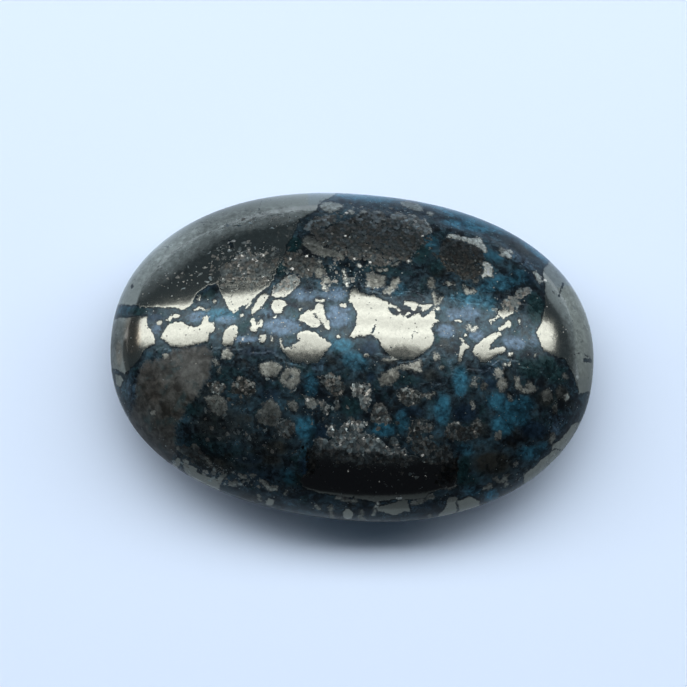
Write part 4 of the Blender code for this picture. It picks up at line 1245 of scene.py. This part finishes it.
def colourTurquoise(tree, textures, marks):
    quick, lively = textures["quick"], textures["lively"]
    hue, mottle = textures["hue"], textures["mottle"]
    shares = finish["toneShares"].items()
    tone = plus(tree, *[times(tree, textures[name], share) for name, share in shares])
    colour = mixColour(tree, window(tree, tone, "slateTone"), finish["ink"], finish["slate"])
    colour = mixColour(tree, window(tree, tone, "paleTone"), colour, finish["pale"])
    tealTone = larger(tree, window(tree, hue, "tealHue"), ragged(tree, textures, "teal"))
    colour = mixColour(tree, tealTone, colour, finish["teal"])
    brownTone = larger(tree, window(tree, hue, "brownHue"), ragged(tree, textures, "brown"))
    colour = mixColour(tree, brownTone, colour, finish["brown"])
    navyTone = times(tree, ragged(tree, textures, "navy"), finish["navyShare"])
    colour = mixColour(tree, navyTone, colour, finish["navy"])
    blueTone = times(tree, plus(tree, ragged(tree, textures, "blue"), field(tree, "blue")), 0.5)
    blueTone = times(tree, blueTone, window(tree, quick, "bluePatches"))
    colour = mixColour(tree, blueTone, colour, finish["sky"])
    # paler blue areas, partly painted sheen of the overhead light band
    mistAndSheenTone = times(tree, ragged(tree, textures, "mist"), window(tree, mottle, "mistPatches"))
    colour = mixColour(tree, mistAndSheenTone, colour, finish["mist"])

    # the dull patch, with its browner and paler spots
    dullStray = times(tree, textures["wander"], finish["dullWander"])
    dull = window(tree, plus(tree, field(tree, "dullDepth"), dullStray), "dullEdge")
    paleSpots = times(tree, field(tree, "dullLight"), finish["dullPaleShare"])
    dullTone = plus(tree, window(tree, quick, "dullTone"), paleSpots)
    dullColour = mixColour(tree, dullTone, finish["dull"], finish["dullPale"])
    dullColour = mixColour(tree, window(tree, hue, "dullTeal"), dullColour, finish["teal"])
    colour = mixColour(tree, dull, colour, dullColour)
    rustTone = times(tree, ragged(tree, textures, "rust"), window(tree, mottle, "rustPatches"))
    colour = mixColour(tree, times(tree, rustTone, finish["rustShare"]), colour, finish["rust"])
    speckle = times(tree, window(tree, lively, "fineSpeckle"), window(tree, mottle, "coarseSpeckle"))
    colour = mixColour(tree, 1.0, colour, speckle, "MULTIPLY")

    # a dark seam, broken in places, lies round each flake; it and the inkiest spots take no gloss
    seam = times(tree, window(tree, marks["depth"], "seamReach"), rest(tree, marks["flake"]))
    seam = times(tree, seam, window(tree, quick, "seamBreaks"))
    colour = mixColour(tree, times(tree, seam, finish["seamShare"]), colour, finish["seam"])
    metal = mixValue(tree, mistAndSheenTone, window(tree, tone, "inkMetal"), finish["mistMetal"])
    metal = mixValue(tree, dull, metal, 0.0)
    metal = larger(tree, times(tree, seam, finish["seamMetal"]), metal)
    return {"colour": colour, "metal": metal, "dull": dull, "mist": mistAndSheenTone}


def colourPyrite(tree, textures, satin, etched):
    # pale brass; the satin flakes are pebbled and finely etched, the crust is in grains
    lively, random, edge = textures["lively"], textures["grainRandom"], textures["grainEdge"]
    line = maths(tree, "ABSOLUTE", centred(tree, textures["etching"]))
    pebble = times(tree, window(tree, edge, "pebbleEdge"), window(tree, lively, "pebbleTone"))
    pebble = times(tree, pebble, window(tree, textures["quick"], "pebblePatches"))
    patchy = window(tree, textures["mottle"], "finePatches")
    patchy = times(tree, patchy, window(tree, textures["hue"], "coarsePatches"))
    worn = times(tree, window(tree, line, "etchedLine"), patchy)
    crackle = times(tree, window(tree, edge, "crackleEdge"), window(tree, lively, "crackleTone"))
    # each shape's brightness holds painted highlight and shade as well as its own tone
    shade = times(tree, field(tree, "pyriteToneAndLight"), mixValue(tree, satin, crackle, pebble))
    shade = times(tree, shade, mixValue(tree, etched, 1.0, worn))
    rusty = times(tree, field(tree, "rust"), finish["rustyPyriteShare"])
    flakes = mixColour(tree, rusty, finish["pyrite"], finish["rustyPyrite"])
    flakes = mixColour(tree, 1.0, flakes, shade, "MULTIPLY")

    crumb = times(tree, window(tree, random[1], "crumbTone"), window(tree, lively, "crumbGrit"))
    # each crust shape's brightness holds painted light and shade as well as its own tone
    crumb = times(tree, crumb, window(tree, edge, "crumbGaps"), field(tree, "crustToneAndLight"))
    warmth = window(tree, random[2], "crumbWarmth")
    crumbs = mixColour(tree, warmth, finish["crust"], finish["warmCrust"])
    crumbs = mixColour(tree, 1.0, crumbs, crumb, "MULTIPLY")
    return flakes, crumbs


def makeRoughness(tree, textures, ground, satin, pyrite, crumbly, sawn):
    stoneRough = window(tree, textures["mottle"], "stoneRoughness")
    stoneRough = mixValue(tree, ground["mist"], stoneRough, finish["mistRoughness"])
    stoneRough = mixValue(tree, ground["dull"], stoneRough, finish["dullRoughness"])
    clouded = times(tree, field(tree, "sprinkle"), window(tree, textures["quick"], "cloudPatches"))
    clouded = times(tree, clouded, window(tree, textures["lively"], "cloudGrit"))
    clouded = larger(tree, satin, window(tree, clouded, "cloudShare"))
    pyriteRough = mixValue(tree, clouded, finish["mirrorRoughness"], finish["satinRoughness"])
    pyriteRough = mixValue(tree, crumbly, pyriteRough, finish["crustRoughness"])
    rough = mixValue(tree, pyrite, stoneRough, pyriteRough)
    return mixValue(tree, sawn, rough, larger(tree, rough, finish["sawnRoughness"]))


def makeRelief(tree, textures, flake, satin, etched, crumbly, sawn):
    # every grain leans its own way, so that it catches light or not
    grainLean = vector(tree, "SUBTRACT", textures["grain"]["Color"], (0.5, 0.5, 0.5))
    speckLean = vector(tree, "SUBTRACT", textures["speck"]["Color"], (0.5, 0.5, 0.5))
    flakeLean = times(tree, flake, mixValue(tree, satin, *finish["flakeTilt"]))
    leanBy = times(tree, larger(tree, crumbly, flakeLean), finish["grainTilt"])
    leanBy = times(tree, leanBy, window(tree, textures["speckRandom"][2], "steepGrains"))
    lean = scaled(tree, vector(tree, "ADD", grainLean, speckLean), leanBy)

    height = plus(
        tree, times(tree, flake, finish["flakeHeight"]),
        times(tree, textures["quick"], finish["groundHeight"]),
        times(tree, crumbly, finish["crumbHeight"]),
        times(tree, textures["lively"], times(tree, etched, finish["fineEtching"])),
        times(tree, textures["mottle"], times(tree, etched, finish["coarseEtching"])),
    )
    bump = addNode(tree, "ShaderNodeBump", {
        "Height": height, "Strength": finish["reliefStrength"], "Distance": finish["reliefDepth"] * mm,
    })
    groove = addNode(tree, "ShaderNodeTexWave", {"Vector": textures["place"], **finish["sawMarks"]})
    grooves = addNode(tree, "ShaderNodeBump", {
        "Height": groove.outputs["Fac"], "Strength": times(tree, sawn, finish["sawStrength"]),
        "Distance": finish["sawDepth"] * mm, "Normal": bump.outputs[0],
    })
    return vector(tree, "NORMALIZE", vector(tree, "ADD", grooves.outputs[0], lean))


def stoneMaterial():
    material = bpy.data.materials.new("turquoiseWithPyrite")
    material.use_nodes = True
    tree = material.node_tree
    shader = tree.nodes["Principled BSDF"]
    textures = makeTextures(tree)
    marks = markPyrite(tree, textures)
    ground = colourTurquoise(tree, textures, marks)
    satin, sawn = field(tree, "satin"), field(tree, "sawn")
    etched = larger(tree, satin, field(tree, "etched"))
    flakes, crumbs = colourPyrite(tree, textures, satin, etched)

    colour = ground["colour"]
    layers = [("flake", flakes), ("speck", crumbs), ("crust", crumbs), ("paintedGlint", finish["paintedGlint"])]
    for name, layer in layers:
        colour = mixColour(tree, marks[name], colour, layer)
    pyrite = larger(tree, marks["flake"], marks["crust"], marks["speck"])
    crumbly = larger(tree, marks["crust"], marks["speck"])
    metal = mixValue(tree, pyrite, ground["metal"], 1.0)
    # painted highlights are partly diffuse, so they stay bright from any side
    metal = mixValue(tree, marks["paintedGlint"], metal, finish["glintMetal"])
    rough = makeRoughness(tree, textures, ground, satin, pyrite, crumbly, sawn)
    normal = makeRelief(tree, textures, marks["flake"], satin, etched, crumbly, sawn)

    tree.links.new(colour, shader.inputs["Base Color"])
    tree.links.new(metal, shader.inputs["Metallic"])
    tree.links.new(rough, shader.inputs["Roughness"])
    tree.links.new(normal, shader.inputs["Normal"])
    shader.inputs["IOR"].default_value = finish["stoneIor"]
    return material


def makeStone():
    piece, points, chartU, chartV, parts = buildStone()
    mesh = piece.data
    layOutSurface(mesh, points, chartU, chartV, parts)
    paintStone(mesh, chartU, chartV, parts)
    mesh.shade_smooth()
    mesh.set_sharp_from_angle(angle=math.radians(stone["creaseAngle"]))
    mesh.materials.append(stoneMaterial())
    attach(piece, "root")
    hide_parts(stone["node"])
    print("stone dressed")


# The table the stone lies on.
table = {"size": 6.0, "colour": (0.735, 0.832, 0.965, 1), "roughness": 0.9, "specular": 0.1}


def makeTable():
    half = table["size"] / 2
    mesh = bpy.data.meshes.new("paleTable")
    corners = [(-half, -half, 0), (half, -half, 0), (half, half, 0), (-half, half, 0)]
    mesh.from_pydata(corners, [], [(0, 1, 2, 3)])
    piece = bpy.data.objects.new("paleTable", mesh)
    bpy.context.scene.collection.objects.link(piece)
    material = bpy.data.materials.new("paleTable")
    material.use_nodes = True
    shader = material.node_tree.nodes["Principled BSDF"]
    shader.inputs["Base Color"].default_value = table["colour"]
    shader.inputs["Roughness"].default_value = table["roughness"]
    shader.inputs["Specular IOR Level"].default_value = table["specular"]
    mesh.materials.append(material)


# Light. A long overhead panel of four rows crosses the stone as a mirror image; its light on the
# table is set apart from that. Directions are for a lamp one unit high: how far across and behind.
light = {
    "height": 0.5,               # m above the table
    "turn": 3.575,               # the view and the light are turned a little from the stone's long axis
    "panel": [                   # across, then near and far edge
        (-3.8, 0.96, 1.60), (-2.2, 0.53, 1.06), (-0.95, 0.22, 0.68), (-0.12, 0.09, 0.60),
        (0.45, 0.11, 0.60), (0.85, 0.18, 0.64), (1.65, 0.38, 0.84), (2.15, 0.50, 0.98),
    ],
    "panelRadiance": 3.12,
    "panelColour": (0.970, 1.0, 1.03, 1),
    "rows": 4,
    "rowDepth": 0.33,
    "nearFade": (0.04, 0.21, 0.12, 1.0),    # shares of the panel's depth, and the glow at each
    "endFade": 0.03,             # share of the panel's length over which each end fades
    "tableLight": 11.2,          # W
    "tableLightColour": (0.97, 1.0, 1.05),
    "tableLightX": (-1.35, 1.25),
    "tableLightBehind": (13.0, 38.0),   # degrees behind the vertical
    "roomColour": (0.070, 0.096, 0.122, 1),
    "roomDark": (0.013, 0.015, 0.021, 1),    # low in front of the table
    "roomFront": (0.05, -0.35),  # it darkens from the side to the front, and downwards
    "roomLow": (0.80, 0.62),
    "pageColour": (0.62, 0.76, 0.92, 1),
    "stripOval": (15.0, 10.4),   # mm, the stone's half length and width
    "stripFoot": 0.1,
}
# What polished faces mirror round the table. Each strip stands a gap (mm) outside the stone and has
# a colour; its stations are azimuth in degrees, height in mm, and the glow at its foot and its top.
strips = {
    "nearFront": (1.2, (0.80, 0.97, 1.16, 1), [
        (-180, 4.6, 0.15, 0.56), (-168, 4.8, 0.30, 0.60), (-159, 4.2, 0.28, 0.44), (-140, 4.0, 0.27, 0.28),
        (-125, 4.0, 0.33, 0.31), (-112, 4.0, 0.37, 0.34), (-90, 4.0, 0.46, 0.32), (-79, 4.0, 0.33, 0.28),
        (-68, 4.0, 0.30, 0.28), (-55, 4.0, 0.26, 0.30), (-40, 4.0, 0.25, 0.36), (-21, 4.4, 0.12, 0.42),
        (-8, 4.8, 0.25, 0.46),
    ]),
    "nearRight": (1.2, (0.81, 0.98, 1.14, 1), [
        (-8, 4.8, 0.25, 0.46), (0, 5.4, 0.29, 0.60), (10, 5.4, 0.42, 0.70), (21, 5.2, 0.58, 0.78),
        (27, 5.2, 0.60, 0.72),
    ]),
    "nearBack": (1.2, (0.76, 0.97, 1.26, 1), [
        (27, 5.2, 0.62, 0.74), (32, 5.2, 0.62, 0.66), (40, 5.2, 0.68, 0.66), (55, 5.4, 0.72, 0.40),
        (68, 5.6, 0.95, 0.38), (80, 5.6, 0.90, 0.44), (90, 5.6, 0.98, 0.64), (100, 5.6, 0.84, 0.80),
    ]),
    "nearLeft": (1.2, (0.79, 0.97, 1.18, 1), [
        (100, 5.6, 0.84, 0.80), (112, 5.8, 0.56, 0.66), (125, 6.0, 0.57, 0.59), (140, 5.4, 0.86, 0.98),
        (152, 5.4, 0.70, 0.80), (163, 5.6, 0.60, 0.76), (169, 5.2, 0.36, 0.56), (174, 4.7, 0.16, 0.40),
        (180, 4.6, 0.15, 0.56),
    ]),
    "front": (8, (0.80, 0.97, 1.16, 1), [
        (170, 5.0, 0.20, 0.15), (206, 6.0, 0.24, 0.14), (240, 6.0, 0.20, 0.10),
        (270, 6.0, 0.24, 0.10), (300, 6.0, 0.20, 0.08), (320, 6.0, 0.22, 0.10), (340, 6.0, 0.20, 0.12),
        (356, 5.0, 0.20, 0.20),
    ]),
    "far": (400, (0.79, 0.98, 1.20, 1), [
        (-8, 10, 0.20, 0.10), (4, 50, 0.45, 0.15), (11, 73, 0.48, 0.15), (22, 95, 0.60, 0.25),
        (36, 112, 0.80, 0.50), (46, 100, 0.70, 0.40), (54, 80, 0.32, 0.15), (62, 80, 0.28, 0.12),
        (75, 60, 0.24, 0.12), (88, 60, 0.36, 0.20), (94, 70, 0.36, 0.30), (98, 98, 0.40, 0.36),
        (110, 96, 0.60, 0.26), (126, 150, 0.80, 0.20), (138, 150, 0.50, 0.18), (148, 100, 0.25, 0.15),
        (152, 10, 0.20, 0.15),
    ]),
}


def turned(x, y, z):
    c, s = math.cos(math.radians(light["turn"])), math.sin(math.radians(light["turn"]))
    return (x * c - y * s, x * s + y * c, z)


def makeTableLight():
    low, high = (light["height"] * math.tan(math.radians(a)) for a in light["tableLightBehind"])
    left, right = light["tableLightX"]
    lamp = bpy.data.lights.new("tableLight", "AREA")
    lamp.shape = "RECTANGLE"
    lamp.size, lamp.size_y = right - left, high - low
    lamp.energy = light["tableLight"]
    lamp.color = light["tableLightColour"]
    piece = bpy.data.objects.new("tableLight", lamp)
    piece.location = turned((left + right) / 2, (low + high) / 2, light["height"])
    piece.rotation_euler = (0, 0, math.radians(light["turn"]))
    piece.visible_glossy = False
    piece.visible_camera = False
    bpy.context.scene.collection.objects.link(piece)


def makeGlow(name, corners, across, along):
    # a glowing card that only mirrors show: corners come in pairs, one pair for each station;
    # across and along are values for its glow at every corner
    faces = [(i - 2, i - 1, i + 1, i) for i in range(2, len(corners), 2)]
    mesh = bpy.data.meshes.new(name)
    mesh.from_pydata(corners, [], faces)
    storeField(mesh, "across", across)
    storeField(mesh, "along", along)
    piece = bpy.data.objects.new(name, mesh)
    bpy.context.scene.collection.objects.link(piece)
    piece.visible_diffuse = False
    piece.visible_camera = False
    piece.visible_shadow = False
    material = bpy.data.materials.new(name)
    material.use_nodes = True
    tree = material.node_tree
    tree.nodes.remove(tree.nodes["Principled BSDF"])
    glow = addNode(tree, "ShaderNodeEmission")
    tree.links.new(glow.outputs[0], tree.nodes["Material Output"].inputs["Surface"])
    mesh.materials.append(material)
    return tree, glow


def makePanel():
    stations = light["panel"]
    height, left, right = light["height"], stations[0][0], stations[-1][0]
    corners, across, along = [], [], []
    for x, near, far in stations:
        for y, share in ((near, 0.0), (far, 1.0)):
            corners.append(turned(x * height, y * height, height))
            across.append(share)
            along.append((x - left) / (right - left))
    tree, glow = makeGlow("panel", corners, across, along)
    wave = maths(tree, "SUBTRACT", times(tree, field(tree, "across"), light["rows"]), 0.5)
    row = maths(tree, "COSINE", times(tree, wave, 2 * math.pi))
    level = plus(tree, 1.0, times(tree, row, light["rowDepth"]))
    sideways = field(tree, "along")
    fade = light["endFade"]
    ends = times(tree, ranged(tree, sideways, 0.0, fade), ranged(tree, sideways, 1.0, 1 - fade))
    glow.inputs["Color"].default_value = light["panelColour"]
    nearEdge = ranged(tree, field(tree, "across"), *light["nearFade"])
    tree.links.new(times(tree, level, ends, nearEdge, light["panelRadiance"]), glow.inputs["Strength"])


def makeStrip(name, gap, colour, stations):
    corners, glows = [], []
    halfLength, halfWidth = light["stripOval"]
    for azimuth, top, glowLow, glowHigh in stations:
        a = math.radians(azimuth)
        x, y = (halfLength + gap) * math.cos(a), (halfWidth + gap) * math.sin(a)
        for z, level in ((0.0, glowLow), (top, glowHigh)):
            corners.append(turned(x * mm, y * mm, (z + light["stripFoot"]) * mm))
            glows.append(level)
    tree, glow = makeGlow(name, corners, glows, glows)
    glow.inputs["Color"].default_value = colour
    tree.links.new(field(tree, "across"), glow.inputs["Strength"])


def makeRoom():
    world = bpy.data.worlds.new("room")
    bpy.context.scene.world = world
    world.use_nodes = True
    tree = world.node_tree
    background = tree.nodes["Background"]
    direction = addNode(tree, "ShaderNodeTexCoord").outputs["Generated"]
    parts = addNode(tree, "ShaderNodeSeparateXYZ", {0: direction}).outputs
    inFront = ranged(tree, parts["Y"], *light["roomFront"])
    low = ranged(tree, parts["Z"], *light["roomLow"])
    colour = mixColour(tree, times(tree, inFront, low), light["roomColour"], light["roomDark"])
    seen = addNode(tree, "ShaderNodeLightPath").outputs["Is Camera Ray"]
    colour = mixColour(tree, seen, colour, light["pageColour"])
    tree.links.new(colour, background.inputs["Color"])


def makeLights():
    makeTableLight()
    makePanel()
    for name, (gap, colour, stations) in strips.items():
        makeStrip(name, gap, colour, stations)
    makeRoom()
    print("lights placed")


# The camera looks steeply down on the stone through a long lens.
camera = {
    "elevation": 75.0,
    "distance": 0.2129,            # m
    "lens": 180.0,
    "sensor": 36.0,
    "clip": (0.01, 20.0),
    "aim": (-0.513, 0.802, 3.0),   # mm: right and up in the picture from the stone's middle, and height
}


def makeCamera():
    data = bpy.data.cameras.new("camera")
    data.lens = camera["lens"]
    data.sensor_width = camera["sensor"]
    data.sensor_fit = "HORIZONTAL"
    data.clip_start, data.clip_end = camera["clip"]
    data.dof.use_dof = False
    piece = bpy.data.objects.new("camera", data)
    rise = math.radians(camera["elevation"])
    right, up, height = camera["aim"]
    side = turned(right * mm, 0, 0)
    upward = turned(0, up * mm * math.sin(rise), up * mm * math.cos(rise))
    back = turned(0, -camera["distance"] * math.cos(rise), camera["distance"] * math.sin(rise))
    piece.location = [side[i] + upward[i] + back[i] + (0, 0, height * mm)[i] for i in range(3)]
    piece.rotation_euler = (math.radians(90.0) - rise, 0, math.radians(light["turn"]))
    bpy.context.scene.collection.objects.link(piece)
    bpy.context.scene.camera = piece
    bpy.context.scene.view_settings.view_transform = "Standard"
    bpy.context.scene.view_settings.look = "None"
    print("camera placed")


makeStone()
makeTable()
makeLights()
makeCamera()
